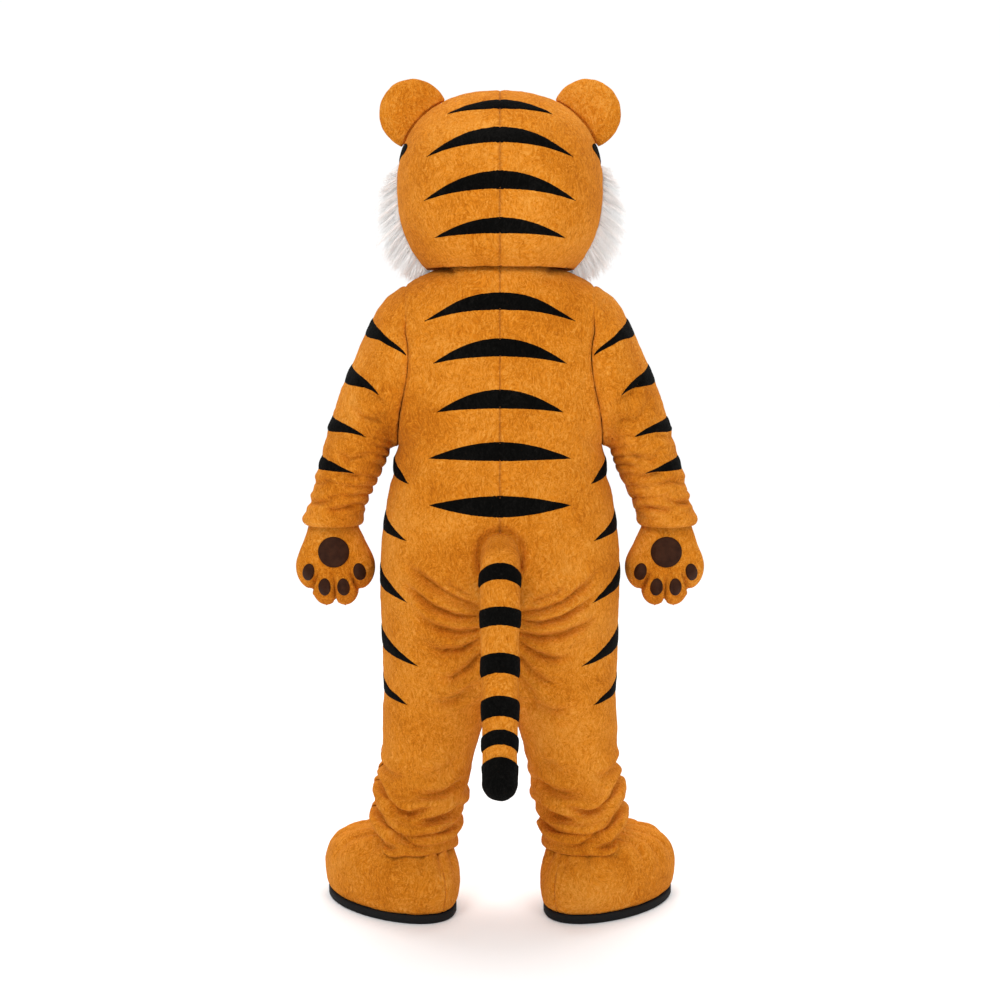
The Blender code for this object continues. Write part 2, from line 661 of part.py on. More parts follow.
def make_gloves():
    """Hollow mitts with four short fingers, open at the wrist inside the cuff."""
    count = 12
    shares = spaced(-1, 1, count)
    for word, side in SIDES:
        def loop(v, wall):
            back = [glove(side, s, v, -1, wall) for s in shares]
            front = [glove(side, s, v, 1, wall) for s in reversed(shares[1:-1])]
            return back + front
        outer = [loop(v, 0.0) for v in (0, GLOVE["cuff_share"], 0.50, 0.75, 0.90, 0.98)]
        inner = [loop(v, GLOVE_WALL) for v in (0, GLOVE["cuff_share"], 0.60, 0.88)]
        points = [p for ring in outer + inner for p in ring]
        size = len(outer[0])
        faces = []
        joins = [(k, k + 1) for k in range(len(outer) - 1)]
        joins += [(k, k + 1) for k in range(len(outer), len(outer) + len(inner) - 1)]
        joins.append((len(outer), 0))
        for a, b in joins:
            for c in range(size):
                d = (c + 1) % size
                faces.append((a * size + c, a * size + d, b * size + d, b * size + c))
        for ring in (len(outer) - 1, len(outer) + len(inner) - 1):
            first = ring * size
            for k in range(count - 1):
                one, two = first + k, first + k + 1
                far, near = first + (size - k) % size, first + size - k - 1
                if k == 0:
                    faces.append((one, two, near))
                elif two == near:
                    faces.append((one, two, far))
                else:
                    faces.append((one, two, near, far))
            faces.append((first + count - 1, first + count, first + count + 1))
        add_object(f"glove_{word}", points, faces, ORANGE)


def make_palm_pads():
    for word, side in SIDES:
        radius = 0.0365

        def surface(x, z):
            low, high = 0.0, 1.0
            for _ in range(40):
                v = (low + high) / 2
                if glove(1, 0.0, v, -1).z > z:
                    low = v
                else:
                    high = v
            share_low, share_high = -1.0, 1.0
            for _ in range(40):
                share = (share_low + share_high) / 2
                if glove(1, share, v, -1).x < x:
                    share_low = share
                else:
                    share_high = share
            point = glove(1, share, v, -1)
            return Vector((side * x, point.y, z))

        def place(s, t):
            return GLOVE["x"] + s * radius, GLOVE["middle"] + t * radius
        rows = leaf_rows(even(10), lambda s: sqrt(max(1 - s * s, 0.0)), place, (-1, 0, 1),
                         lambda s, t: 0.5 + 0.5 * sqrt(max(1 - s * s, 0)) * (1 - abs(t)))
        laid(f"palm_pad_{word}", surface, rows, side, PAD_BROWN, 0.006, 0.0016, 0.5)


def boot_ring(side, count, height, half_length, half_width, moved, shrink=0.0):
    """An egg-shaped ring, blunt end forward, that turns into the round shaft as moved goes to 1."""
    middle, ahead, across = boot_frame(side, height, moved)
    ring = []
    for k in range(count):
        turn = 2 * pi * k / count
        taper = 1 + BOOT_TAPER * (1 - moved) * cos(turn)
        ring.append(middle + ahead * (half_length - shrink) * cos(turn)
                    + across * (half_width - shrink) * taper * sin(turn))
    return ring


def make_boots():
    """Hollow paw boots, open at the ankle, each on a flat sole."""
    count = 16
    for word, side in SIDES:
        outer = [boot_ring(side, count, *row) for row in BOOT_ROWS]
        inner = []
        for height, half_length, half_width, moved in BOOT_ROWS:
            lower = height - BOOT_WALL * sin(pi * moved) ** 0.5
            inner.append(boot_ring(side, count, lower, half_length, half_width, moved, BOOT_WALL))
        shell(f"boot_{word}", outer, inner, ORANGE, wrap=True)
        low = boot_ring(side, 24, 0.0, SOLE["half_length"], SOLE["half_width"], 0.0)
        high = boot_ring(side, 24, SOLE["thickness"], SOLE["half_length"], SOLE["half_width"], 0.0)
        stuffed(f"sole_{word}", [low, high], SOLE_BLACK, roughness=0.6)


def make_tail():
    """A stuffed tail that hangs out behind, ringed with black bands, with a black end."""
    count = 12
    angles = [2 * pi * k / count for k in range(count)]
    root = []
    for angle in angles:
        x = TAIL[0][2] * cos(angle)
        z = TAIL[0][1] + TAIL[0][2] * 1.1 * -sin(angle)
        root.append(Vector((x, seat(x, z) - TAIL_CLEARANCE / 2, z)))
    foot = Vector((0, seat(0, TAIL[0][1]) - TAIL_CLEARANCE / 2, TAIL[0][1]))
    rings = [root] + [[tail(a, s) for a in angles] for s in spaced(0.07, 0.28, 6) + spaced(0.36, TAIL_TIP, 6)]
    stuffed("tail", rings, ORANGE, start=foot)
    tip = [[tail(a, s) for a in angles] for s in spaced(TAIL_TIP + 0.0012, 1.0, 2)]
    last = tail(0, 1.0)
    middle = Vector((0, last.y, last.z))
    near = sum(tip[1], Vector()) / count
    along = (middle - sum(tip[0], Vector()) / count).normalized()
    for swell, ahead in ((0.80, 0.60), (0.42, 0.90)):
        tip.append([near + (p - near) * swell + along * TAIL[-1][2] * ahead for p in tip[1][:]])
    stuffed("tail_tip", tip, BLACK, end=near + along * TAIL[-1][2])
    for k, (start, stop) in enumerate(TAIL_BANDS, 1):
        outer, inner = [], []
        for share in (start, stop):
            places = [(a, share + BAND_ARCH * (cos(a) ** 2 if sin(a) < 0 else 1)) for a in angles]
            ring_n = [(tail(a, s), normal_at(tail, a, s, -1)) for a, s in places]
            outer.append([p + n * (WRAP_LIFT + APPLIQUE) for p, n in ring_n])
            inner.append([p + n * WRAP_LIFT for p, n in ring_n])
        shell(f"tail_band_{k}", outer, inner, BLACK, wrap=True)


def crescent(s):
    """Half height of a stripe along its length: full in the middle, drawn out to a point."""
    return (1 - abs(s) ** 1.7) ** 1.1


def make_stripes():
    for k, (height, drop, reach, half) in enumerate(BACK_STRIPES, 1):
        def both_backs(turn, v):
            return torso(1 if turn >= 0 else -1, -1, abs(turn), v)

        def place(s, t):
            z = height - drop * s * s + t * half
            outer = read(BODY, min(z, CHEST))[0]
            share = min(abs(s) * reach / outer, 1.0)
            turn = asin(share ** (SECTION_POWER / 2)) * 2 / pi
            v = 1 + CHEST - z
            if z > CHEST:
                v = 1 - asin(min((z - CHEST) / (NECK_TOP - CHEST), 1.0) ** (1 / ROLL)) * 2 / pi
            end = asin(min(armhole_depth(min(z, CHEST)) / read(BODY, min(z, CHEST))[2], 1.0)
                       ** (SECTION_POWER / 2)) if z > UNDERARM else 0.0
            turn = turn / (1 - end * 2 / pi)
            return (turn if s >= 0 else -turn), v
        rows = leaf_rows(even(10), crescent, place)
        laid(f"back_stripe_{k}", both_backs, rows, -1, BLACK, APPLIQUE)
    for k, (height, drop, reach, half) in enumerate(HEAD_STRIPES, 1):
        def both_heads(turn, polar):
            return head(1 if turn >= 0 else -1, abs(turn) - pi / 2, polar)

        def place(s, t):
            z = height - drop * s * s + t * half
            polar = polar_of(z)
            width = HEAD["width"] * sin(polar) ** (2 / HEAD["power"])
            turn = asin(min(abs(s) * reach / width, 1.0) ** (SECTION_POWER / 2))
            return (turn if s >= 0 else -turn), polar
        rows = leaf_rows(even(8), crescent, place)
        laid(f"head_stripe_{k}", both_heads, rows, -1, BLACK, APPLIQUE)
    for word, side in SIDES:
        for k, (height, tip_height, reach, half) in enumerate(FLANK_STRIPES, 1):
            def round_side(turn, v):
                return torso(side, -1 if turn < 0 else 1, 1 - abs(turn), v)

            def place(s, t):
                z = height + (tip_height - height) * abs(s) ** 1.2 + t * half
                return s * reach, 1 + CHEST - z
            low = height < CROTCH_ROWS
            across = (-1, -0.5, 0, 0.5, 1) if low else (-1, 0, 1)
            lift = WRAP_LIFT * (1.8 if low else 1.0)
            rows = leaf_rows(on_ring(COLUMNS[1:], reach), crescent, place, across)
            laid(f"flank_stripe_{word}_{k}", round_side, rows, -side, BLACK, APPLIQUE, lift)
        for k, (level, tip_level, reach, half) in enumerate(SLEEVE_STRIPES, 1):
            def round_sleeve(angle, at):
                return sleeve(side, angle, at)

            def place(s, t):
                return s * reach, level + (tip_level - level) * abs(s) ** 1.2 + t * half
            rows = leaf_rows(on_ring(armhole_angles(), reach), crescent, place)
            laid(f"sleeve_stripe_{word}_{k}", round_sleeve, rows, side, BLACK, APPLIQUE, WRAP_LIFT)


make_suit()
make_sleeves()
make_head()
make_ears()
make_cheeks()
make_face()
make_gloves()
make_palm_pads()
make_boots()
make_tail()
make_stripes()
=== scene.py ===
import random
from functools import partial
from math import cos, degrees, pi, radians, sin, sqrt

import bpy
import numpy as np
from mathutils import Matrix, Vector, noise


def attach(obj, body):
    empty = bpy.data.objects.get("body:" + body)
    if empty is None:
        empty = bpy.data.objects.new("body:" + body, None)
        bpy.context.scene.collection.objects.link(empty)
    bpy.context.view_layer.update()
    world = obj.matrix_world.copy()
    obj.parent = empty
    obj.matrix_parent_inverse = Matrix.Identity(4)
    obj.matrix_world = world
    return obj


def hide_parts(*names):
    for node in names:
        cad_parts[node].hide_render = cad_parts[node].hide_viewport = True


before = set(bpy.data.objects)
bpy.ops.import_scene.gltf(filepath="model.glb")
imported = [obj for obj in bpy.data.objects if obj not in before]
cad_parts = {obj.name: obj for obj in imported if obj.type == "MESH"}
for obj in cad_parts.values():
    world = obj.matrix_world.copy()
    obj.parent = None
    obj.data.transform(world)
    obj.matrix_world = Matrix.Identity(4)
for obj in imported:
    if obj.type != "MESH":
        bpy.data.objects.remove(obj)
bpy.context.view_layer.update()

shoulders = 1.470      # height of the frame's origin; every height below is above the floor
sides = (("Left", -1), ("Right", 1))
print("frame loaded:", len(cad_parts), "nodes")

# camera and light: straight behind the wearer, a little above the waist
shot = dict(distance=3.6, height=1.35, pitch=6.02, lens=55.5)
cameraData = bpy.data.cameras.new("camera")
cameraData.lens, cameraData.sensor_width = shot["lens"], 36.0
camera = bpy.data.objects.new("camera", cameraData)
camera.location = (0, -shot["distance"], shot["height"] - shoulders)
camera.rotation_euler = (radians(90 - shot["pitch"]), 0, 0)
bpy.context.scene.collection.objects.link(camera)
bpy.context.scene.camera = camera

studio = dict(
    backdrop=1.02,      # as the camera sees it
    fill=0.50,          # as it lights the costume
    floor=(0.92, 0.92, 0.92),
    floorGlow=0.06,
    overhead=dict(tilt=radians(-24), spread=radians(55), strength=1.95),
    # place, aimed at, size, watts
    lamps=(
        ((-1.5, -3.2, 2.5), (0, 0, -0.4), 1.5, 66),
        ((1.8, -3.1, 2.1), (0, 0, -0.4), 1.6, 38),
        ((-2.2, 2.0, 1.4), (0, 0, -0.2), 1.6, 22),
        ((2.2, 2.0, 1.4), (0, 0, -0.2), 1.6, 22),
    ),
)


def lightScene():
    scene = bpy.context.scene
    scene.view_settings.view_transform = "Standard"
    scene.view_settings.look = "None"
    world = bpy.data.worlds.new("studio")
    world.use_nodes = True
    tree = world.node_tree
    seen = tree.nodes["Background"]
    seen.inputs["Strength"].default_value = studio["backdrop"]
    lighting = tree.nodes.new("ShaderNodeBackground")
    lighting.inputs["Strength"].default_value = studio["fill"]
    for each in (seen, lighting):
        each.inputs["Color"].default_value = (1, 1, 1, 1)
    which, rays = tree.nodes.new("ShaderNodeMixShader"), tree.nodes.new("ShaderNodeLightPath")
    tree.links.new(rays.outputs["Is Camera Ray"], which.inputs["Fac"])
    tree.links.new(lighting.outputs["Background"], which.inputs[1])
    tree.links.new(seen.outputs["Background"], which.inputs[2])
    tree.links.new(which.outputs["Shader"], tree.nodes["World Output"].inputs["Surface"])
    scene.world = world
    for k, (place, aim, size, watts) in enumerate(studio["lamps"]):
        data = bpy.data.lights.new("softbox" + str(k), "AREA")
        data.energy, data.size = watts, size
        lamp = bpy.data.objects.new("softbox" + str(k), data)
        lamp.location = place
        lamp.rotation_euler = (Vector(aim) - Vector(place)).to_track_quat("-Z", "Y").to_euler()
        scene.collection.objects.link(lamp)
    data = bpy.data.lights.new("overhead", "SUN")
    data.energy, data.angle = studio["overhead"]["strength"], studio["overhead"]["spread"]
    lamp = bpy.data.objects.new("overhead", data)
    lamp.rotation_euler = (studio["overhead"]["tilt"], 0, 0)
    scene.collection.objects.link(lamp)
    bpy.ops.mesh.primitive_plane_add(size=60, location=(0, 0, -shoulders - 0.0005))
    floor = bpy.context.object
    floor.name = "floor"
    paint = bpy.data.materials.new("pale floor")
    paint.use_nodes = True
    shader = paint.node_tree.nodes["Principled BSDF"]
    shader.inputs["Base Color"].default_value = (*studio["floor"], 1)
    shader.inputs["Roughness"].default_value = 0.9
    shader.inputs["Specular IOR Level"].default_value = 0.1
    shader.inputs["Emission Color"].default_value = (1, 1, 1, 1)
    shader.inputs["Emission Strength"].default_value = studio["floorGlow"]
    floor.data.materials.append(paint)


lightScene()
print("camera and lights set")


class Nodes:
    # one material, and the few kinds of node that the finishes are mixed from
    def __init__(self, name):
        self.material = bpy.data.materials.new(name)
        self.material.use_nodes = True
        self.tree = self.material.node_tree
        self.shader = self.tree.nodes["Principled BSDF"]
        self.place = self.add("ShaderNodeTexCoord").outputs["Object"]

    def add(self, kind, **settings):
        made = self.tree.nodes.new(kind)
        for key, value in settings.items():
            setattr(made, key, value)
        return made

    def join(self, source, target):
        self.tree.links.new(source, target)

    def noise(self, place, scale, detail=2.0, rough=0.5, distortion=0.0, output="Fac"):
        made = self.add("ShaderNodeTexNoise")
        self.join(place, made.inputs["Vector"])
        values = dict(Scale=scale, Detail=detail, Roughness=rough, Distortion=distortion)
        for socket, value in values.items():
            made.inputs[socket].default_value = value
        return made.outputs[output]

    def stretched(self, place, scale):
        made = self.add("ShaderNodeMapping")
        made.inputs["Scale"].default_value = scale
        self.join(place, made.inputs["Vector"])
        return made.outputs["Vector"]

    def swirled(self, place, scale, reach):
        # the place pushed about by a coarse noise
        push = self.add("ShaderNodeVectorMath", operation="MULTIPLY_ADD")
        self.join(self.noise(place, scale, 1.0, output="Color"), push.inputs[0])
        push.inputs[1].default_value = (reach, reach, reach)
        self.join(place, push.inputs[2])
        return push.outputs["Vector"]

    def ramp(self, value, stops):
        made = self.add("ShaderNodeValToRGB")
        for k, (at, colour) in enumerate(stops):
            stop = made.color_ramp.elements[k] if k < 2 else made.color_ramp.elements.new(at)
            stop.position, stop.color = at, (*colour, 1)
        self.join(value, made.inputs["Fac"])
        return made.outputs["Color"]

    def lines(self, value, width):
        # thin curling lines where a noise passes through its middle
        gap = self.maths("ABSOLUTE", self.maths("SUBTRACT", value, 0.5))
        return self.ramp(gap, ((0.0, (1, 1, 1)), (width, (0, 0, 0))))

    def maths(self, operation, *values):
        made = self.add("ShaderNodeMath", operation=operation)
        for k, value in enumerate(values):
            if isinstance(value, float):
                made.inputs[k].default_value = value
            else:
                self.join(value, made.inputs[k])
        return made.outputs["Value"]

    def mixed(self, start, *parts):
        # the start with a share of each further value added
        for value, share in parts:
            start = self.maths("MULTIPLY_ADD", value, share, start)
        return start

    def bump(self, height, distance, strength):
        made = self.add("ShaderNodeBump")
        made.inputs["Strength"].default_value = strength
        made.inputs["Distance"].default_value = distance
        self.join(height, made.inputs["Height"])
        self.join(made.outputs["Normal"], self.shader.inputs["Normal"])

    def set(self, **values):
        for key, value in values.items():
            socket = self.shader.inputs[key.replace("_", " ")]
            socket.default_value = (*value, 1) if isinstance(value, tuple) else value
        return self.material


orangePile = dict(deep=(0.42, 0.108, 0.004), low=(0.55, 0.163, 0.008), mid=(0.655, 0.213, 0.014),
                  pale=(0.80, 0.325, 0.050), swirl=15.0, swirlReach=0.050, stroke=(200, 200, 80), patch=6.0,
                  curl=62.0, roughness=0.9, specular=0.04, sheen=0.10, sheenRoughness=0.4,
                  sheenTint=(1.0, 0.62, 0.25), bump=0.0026, strength=0.5)


def plush(name, pile):
    # short dense pile: curled strokes and random patches of tone, with painted highlight along pale curling
    # lines where the pile stands up and painted shade along dark curling lines where it parts
    n = Nodes(name)
    swirled = n.swirled(n.place, pile["swirl"], pile["swirlReach"])
    strokes = n.noise(n.stretched(swirled, pile["stroke"]), 1.0, 2.0, 0.5, 0.8)
    fine = n.noise(n.stretched(swirled, tuple(3.0 * s for s in pile["stroke"])), 1.0, 2.0, 0.5, 0.4)
    patches = n.noise(n.place, pile["patch"], 5.0, 0.55, 0.5)
    # pale curling lines: painted highlight in the colour, raised in the bump
    paintedHighlightCurls = n.lines(n.noise(swirled, pile["curl"], 2.0, 0.5, 1.6), 0.045)
    # dark curling lines: painted shade in the colour, sunk in the bump
    paintedShadeCurls = n.lines(n.noise(n.stretched(swirled, (-1.3, 1.3, 1.3)), pile["curl"], 2.0, 0.5, 1.6), 0.035)
    # the tone: random patches, strokes and fine noise, plus the painted highlight and painted shade of the
    # curls
    tone = n.mixed(n.maths("MULTIPLY", patches, 0.40), (strokes, 0.42), (fine, 0.18),      # 0.5 on the whole
                   (paintedHighlightCurls, 0.115), (paintedShadeCurls, -0.085))
    stops = ((0.34, pile["deep"]), (0.44, pile["low"]), (0.52, pile["mid"]), (0.68, pile["pale"]))
    colour = n.ramp(tone, stops)
    n.join(colour, n.shader.inputs["Base Color"])
    height = n.mixed(strokes, (fine, 0.3), (paintedHighlightCurls, 0.8), (paintedShadeCurls, -0.7))
    n.bump(height, pile["bump"], pile["strength"])
    return n.set(Roughness=pile["roughness"], Specular_IOR_Level=pile["specular"], Sheen_Weight=pile["sheen"],
                 Sheen_Roughness=pile["sheenRoughness"], Sheen_Tint=pile["sheenTint"])


orange = plush("orange plush", orangePile), "orange_plush"      # each finish with its slot
blackPile = dict(orangePile, deep=(0.0010, 0.0009, 0.0008), low=(0.0016, 0.0015, 0.0013),
                 mid=(0.0026, 0.0024, 0.0021), pale=(0.0068, 0.0062, 0.0055), specular=0.04, sheen=0.005,
                 sheenTint=(1.0, 0.9, 0.8), bump=0.0022)
black = plush("black plush", blackPile), "black_plush"
whitePile = dict(orangePile, deep=(0.60, 0.59, 0.57), low=(0.72, 0.71, 0.69), mid=(0.82, 0.81, 0.80),
                 pale=(0.92, 0.92, 0.91), sheen=0.25, sheenTint=(1.0, 1.0, 1.0))
white = plush("white plush", whitePile), "white_fur"


def furMaterial():
    # long white strands; the faint glow stands in for the light that passes between them
    n = Nodes("white fur")
    strands = n.noise(n.stretched(n.place, (300, 300, 60)), 1.0, 2.0)
    colour = n.ramp(strands, ((0.25, (0.86, 0.858, 0.85)), (0.7, (0.97, 0.968, 0.965))))
    n.join(colour, n.shader.inputs["Base Color"])
    return n.set(Roughness=0.6, Specular_IOR_Level=0.2, Emission_Color=(1.0, 1.0, 1.0),
                 Emission_Strength=0.07)


def padMaterial():
    # soft brown leatherette with a fine grain
    n = Nodes("brown pad")
    grain = n.noise(n.place, 900, 3.0, 0.6)
    cloud = n.noise(n.place, 60, 2.0)
    colour = n.ramp(cloud, ((0.3, (0.026, 0.0080, 0.0035)), (0.7, (0.044, 0.0150, 0.0065))))
    n.join(colour, n.shader.inputs["Base Color"])
    n.bump(grain, 0.0006, 0.35)
    return n.set(Roughness=0.6, Specular_IOR_Level=0.08)


def soleMaterial():
    n = Nodes("black sole")
    speck = n.noise(n.place, 700, 2.0)
    colour = n.ramp(speck, ((0.3, (0.006, 0.006, 0.006)), (0.8, (0.016, 0.016, 0.017))))
    n.join(colour, n.shader.inputs["Base Color"])
    n.bump(speck, 0.0005, 0.4)
    return n.set(Roughness=0.75, Specular_IOR_Level=0.12)


def threadMaterial():
    n = Nodes("orange thread")
    twist = n.noise(n.stretched(n.place, (900, 900, 2600)), 1.0, 1.0)
    colour = n.ramp(twist, ((0.3, (0.50, 0.140, 0.008)), (0.7, (0.70, 0.250, 0.030))))
    n.join(colour, n.shader.inputs["Base Color"])
    return n.set(Roughness=0.7)


def glossMaterial(name, dark, lightTone, roughness):
    n = Nodes(name)
    cloud = n.noise(n.place, 55, 2.0)
    n.join(n.ramp(cloud, ((0.3, dark), (0.7, lightTone))), n.shader.inputs["Base Color"])
    return n.set(Roughness=roughness, Specular_IOR_Level=0.3, Coat_Weight=0.15, Coat_Roughness=0.1)


fur = furMaterial(), "white_fur"
padSkin = padMaterial(), "brown_pad"
soleRubber = soleMaterial(), "black_sole"
thread = threadMaterial(), "orange_plush"
eyeGloss = glossMaterial("eye plastic", (0.006, 0.004, 0.003), (0.016, 0.010, 0.007), 0.12), "eye_plastic"
noseSkin = glossMaterial("nose skin", (0.010, 0.007, 0.006), (0.020, 0.013, 0.011), 0.38), "nose_plastic"
print("materials made")


def readTable(table, place):
    # the columns of a table at places in its first column, on smooth curves through the rows
    rows = np.array(table if table[0][0] < table[-1][0] else table[::-1], float)
    keys = rows[:, 0]
    place = np.clip(np.asarray(place, float), keys[0], keys[-1])
    k = np.clip(np.searchsorted(keys, place, side="right") - 1, 0, len(keys) - 2)
    before, after = np.maximum(k - 1, 0), np.minimum(k + 2, len(keys) - 1)
    span = keys[k + 1] - keys[k]
    t = (place - keys[k]) / span
    values = []
    for c in rows[:, 1:].T:
        slopeHere = (c[k + 1] - c[before]) / (keys[k + 1] - keys[before])
        slopeThere = (c[after] - c[k]) / (keys[after] - keys[k])
        values.append((2 * t**3 - 3 * t**2 + 1) * c[k] + (t**3 - 2 * t**2 + t) * span * slopeHere
                      + (3 * t**2 - 2 * t**3) * c[k + 1] + (t**3 - t**2) * span * slopeThere)
    return values


def curved(value, power):
    return np.sign(value) * np.abs(value) ** power


def root(value, power):
    return np.clip(value, 0, None) ** power


def join3(x, y, z):
    return np.stack(np.broadcast_arrays(x, y, z), -1).astype(float)


def mesh(rows, columns):
    return np.meshgrid(np.asarray(rows, float), np.asarray(columns, float), indexing="ij")


def normalsOf(points, outward, wrap=False):
    if wrap:
        across = np.roll(points, -1, 1) - np.roll(points, 1, 1)
    else:
        across = np.gradient(points, axis=1)
    along = np.gradient(points, axis=0)
    n = np.cross(across, along) * outward
    return n / np.maximum(np.linalg.norm(n, axis=-1, keepdims=True), 1e-12)


def noiseAt(points, scale, seed=0.0):
    # gentle noise from -1 to 1; scale may differ along x, y and z
    places = (points * np.asarray(scale, float) + seed).reshape(-1, 3)
    values = [noise.noise(p) for p in places.tolist()]
    return np.array(values).reshape(points.shape[:-1])


def bell(gap):
    return np.exp(-gap * gap)


def creases(lines, across, up):
    # a sharp valley with a soft roll on both sides, along each short path of places
    total = np.zeros_like(across)
    for depth, width, path in lines:
        width = width * foldDepth["width"]
        nearest = np.full_like(across, 9.0)
        share = np.zeros_like(across)
        count = len(path) - 1
        for k, ((a, b), (c, d)) in enumerate(zip(path, path[1:])):
            da, db = c - a, d - b
            t = np.clip(((across - a) * da + (up - b) * db) / (da * da + db * db), 0, 1)
            gap = np.hypot(across - a - t * da, up - b - t * db)
            closer = gap < nearest
            nearest = np.where(closer, gap, nearest)
            share = np.where(closer, (k + t) / count, share)
        fade = np.clip(np.minimum(share * 6 + 0.55, (1 - share) * 2.6), 0, 1)
        roll = 0.5 * bell((nearest - 2.2 * width) / (1.4 * width))
        total += depth * fade * (roll - np.exp(-1.25 * nearest / width))
    return total


def toMesh(name, points, faces):
    data = bpy.data.meshes.new(name)
    flat = np.array(points, float).reshape(-1, 3)
    flat[:, 2] -= shoulders
    data.from_pydata(flat.tolist(), [], faces)
    data.shade_smooth()
    made = bpy.data.objects.new(name, data)
    bpy.context.scene.collection.objects.link(made)
    return made


def gridFaces(rows, columns, outward, wrap):
    ids = np.arange(rows * columns).reshape(rows, columns)
    if wrap:
        ids = np.hstack([ids, ids[:, :1]])
    a, b, c, d = ids[:-1, :-1], ids[:-1, 1:], ids[1:, 1:], ids[1:, :-1]
    faces = np.stack([a, b, c, d], -1).reshape(-1, 4)
    return (faces if outward > 0 else faces[:, ::-1]).tolist()


def gridPiece(name, points, outward, wrap=False, ends=(), extra=()):
    # ends closes the first and last ring of a wrapped grid on these points; extra is further faces
    rows, columns = points.shape[:2]
    faces = gridFaces(rows, columns, outward, wrap) + list(extra)
    flat = points.reshape(-1, 3).tolist()
    for which, tip in ends:
        first = 0 if which == "first" else (rows - 1) * columns
        flat.append(list(tip))
        for c in range(columns):
            one, two = first + c, first + (c + 1) % columns
            face = (one, len(flat) - 1, two)
            faces.append(face if (which == "first") == (outward > 0) else face[::-1])
    return toMesh(name, flat, faces)


def nodeOf(name):
    # headBackLeft stands for the frame's node head_back_left, and tailBand1 for tail_band_1
    return "".join(c if c.islower() else "_" + c.lower() for c in name.split(".")[0])


def finishPiece(made, finish, inFrame=True):
    material, slotName = finish
    made.data.materials.append(material)
    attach(made, "root")
    if inFrame:
        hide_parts(nodeOf(made.name))
    return made


def thicken(made, wall):
    solid = made.modifiers.new("wall", "SOLIDIFY")
    solid.thickness, solid.offset = wall, -1.0
    solid.use_rim = True
    solid.use_even_offset = False
    return made


def declareSheet(points, wrap):
    # the flat size of a panel before it was sewn: width, length and area
    ring = np.concatenate([points, points[:, :1]], 1) if wrap else points
    width = np.linalg.norm(np.diff(ring, axis=1), axis=-1).sum(1).max()
    length = np.linalg.norm(np.diff(ring, axis=0), axis=-1).sum(0).max()
    across, down = np.diff(ring, axis=1)[:-1], np.diff(ring, axis=0)[:, :-1]
    area = np.linalg.norm(np.cross(across, down), axis=-1).sum()
    area = float(min(max(area, 0.31 * width * length), width * length))


def sewPanel(name, base, n, relief, outward, wall, wrap=False, finish=orange,
             inFrame=True, extra=()):
    # a cloth panel: its plain form raised by the relief, then given its wall
    points = base + n * relief[..., None]
    made = thicken(gridPiece(name, points, outward, wrap, extra=extra), wall)
    finishPiece(made, finish, inFrame)
    declareSheet(base, wrap)
    return points


def facingOut(base, middle):
    # the normals of a closed ring of points, away from its middle, and which way round it runs
    n = normalsOf(base, 1, True)
    outward = 1 if (n * (base - middle)).sum() > 0 else -1
    return n * outward, outward


def stitchRow(name, path, normals, pitch=0.0075, length=0.0046, radius=0.00055, lift=0.0004):
    # short threads end to end along a path
    path, normals = np.asarray(path, float), np.asarray(normals, float)
    run = np.concatenate([[0], np.cumsum(np.linalg.norm(np.diff(path, axis=0), axis=1))])
    starts = np.arange(pitch, run[-1] - length, pitch)
    points, faces = [], []
    for start in starts:
        ends = []
        for at in (start, start + length):
            ends.append(np.array([np.interp(at, run, path[:, c]) for c in range(3)]))
        n = np.array([np.interp(start, run, normals[:, c]) for c in range(3)])
        along = (ends[1] - ends[0]) / np.linalg.norm(ends[1] - ends[0])
        across = np.cross(along, n)
        first = len(points)
        points.append(ends[0] - n * radius)
        for share in (0.25, 0.75):
            middle = ends[0] * (1 - share) + ends[1] * share + n * lift
            for turn in range(5):
                angle = 2 * pi * turn / 5
                points.append(middle + (across * cos(angle) + n * sin(angle)) * radius)
        points.append(ends[1] - n * radius)
        for turn in range(5):
            other = (turn + 1) % 5
            a, b = first + 1 + turn, first + 1 + other
            faces += [(first, b, a), (a, b, b + 5, a + 5), (first + 11, a + 5, b + 5)]
    finishPiece(toMesh(name, points, faces), thread, False)


sectionPower = 2.25      # the suit has the same form as the frame's nodes
body = (      # height, outermost x, centre x of the leg, depth behind, depth in front, middle y
    (1.360, 0.278, 0.000, 0.163, 0.158, 0.000),
    (1.280, 0.283, 0.000, 0.170, 0.168, 0.000),
    (1.190, 0.268, 0.000, 0.178, 0.180, 0.000),
    (1.100, 0.240, 0.000, 0.185, 0.193, 0.000),
    (1.040, 0.249, 0.000, 0.190, 0.202, 0.000),
    (0.960, 0.266, 0.000, 0.197, 0.208, 0.000),
    (0.860, 0.279, 0.000, 0.204, 0.209, 0.000),
    (0.760, 0.281, 0.000, 0.206, 0.200, 0.000),
    (0.680, 0.279, 0.010, 0.198, 0.185, 0.000),
    (0.620, 0.277, 0.050, 0.183, 0.170, 0.000),
    (0.570, 0.276, 0.095, 0.167, 0.158, -0.001),
    (0.530, 0.274, 0.138, 0.153, 0.147, -0.002),
    (0.470, 0.277, 0.153, 0.138, 0.132, -0.005),
    (0.400, 0.279, 0.165, 0.124, 0.118, -0.009),
    (0.330, 0.282, 0.176, 0.116, 0.110, -0.014),
    (0.270, 0.290, 0.188, 0.112, 0.107, -0.020),
    (0.210, 0.297, 0.199, 0.110, 0.106, -0.026),
    (0.140, 0.308, 0.208, 0.109, 0.105, -0.030),
)
cut = dict(chest=1.360, underarm=1.100, crotch=0.530, roll=0.62, neckX=0.118, neckY=0.110, neckTop=1.518,
           shoulderTop=1.468, shoulderX=0.220, neckFlat=0.060, armholeMiddle=1.284, armholeRise=0.184,
           armholeDepth=0.124, hem=0.146, hemClearance=0.008, hemReach=0.11, legStart=0.345)
ankleRolls = (      # height outside, height lost inside, bulge
    (0.288, 0.020, 0.010),
    (0.226, 0.026, 0.012),
    (0.166, 0.010, 0.008),
)
ankleSpread = 0.016
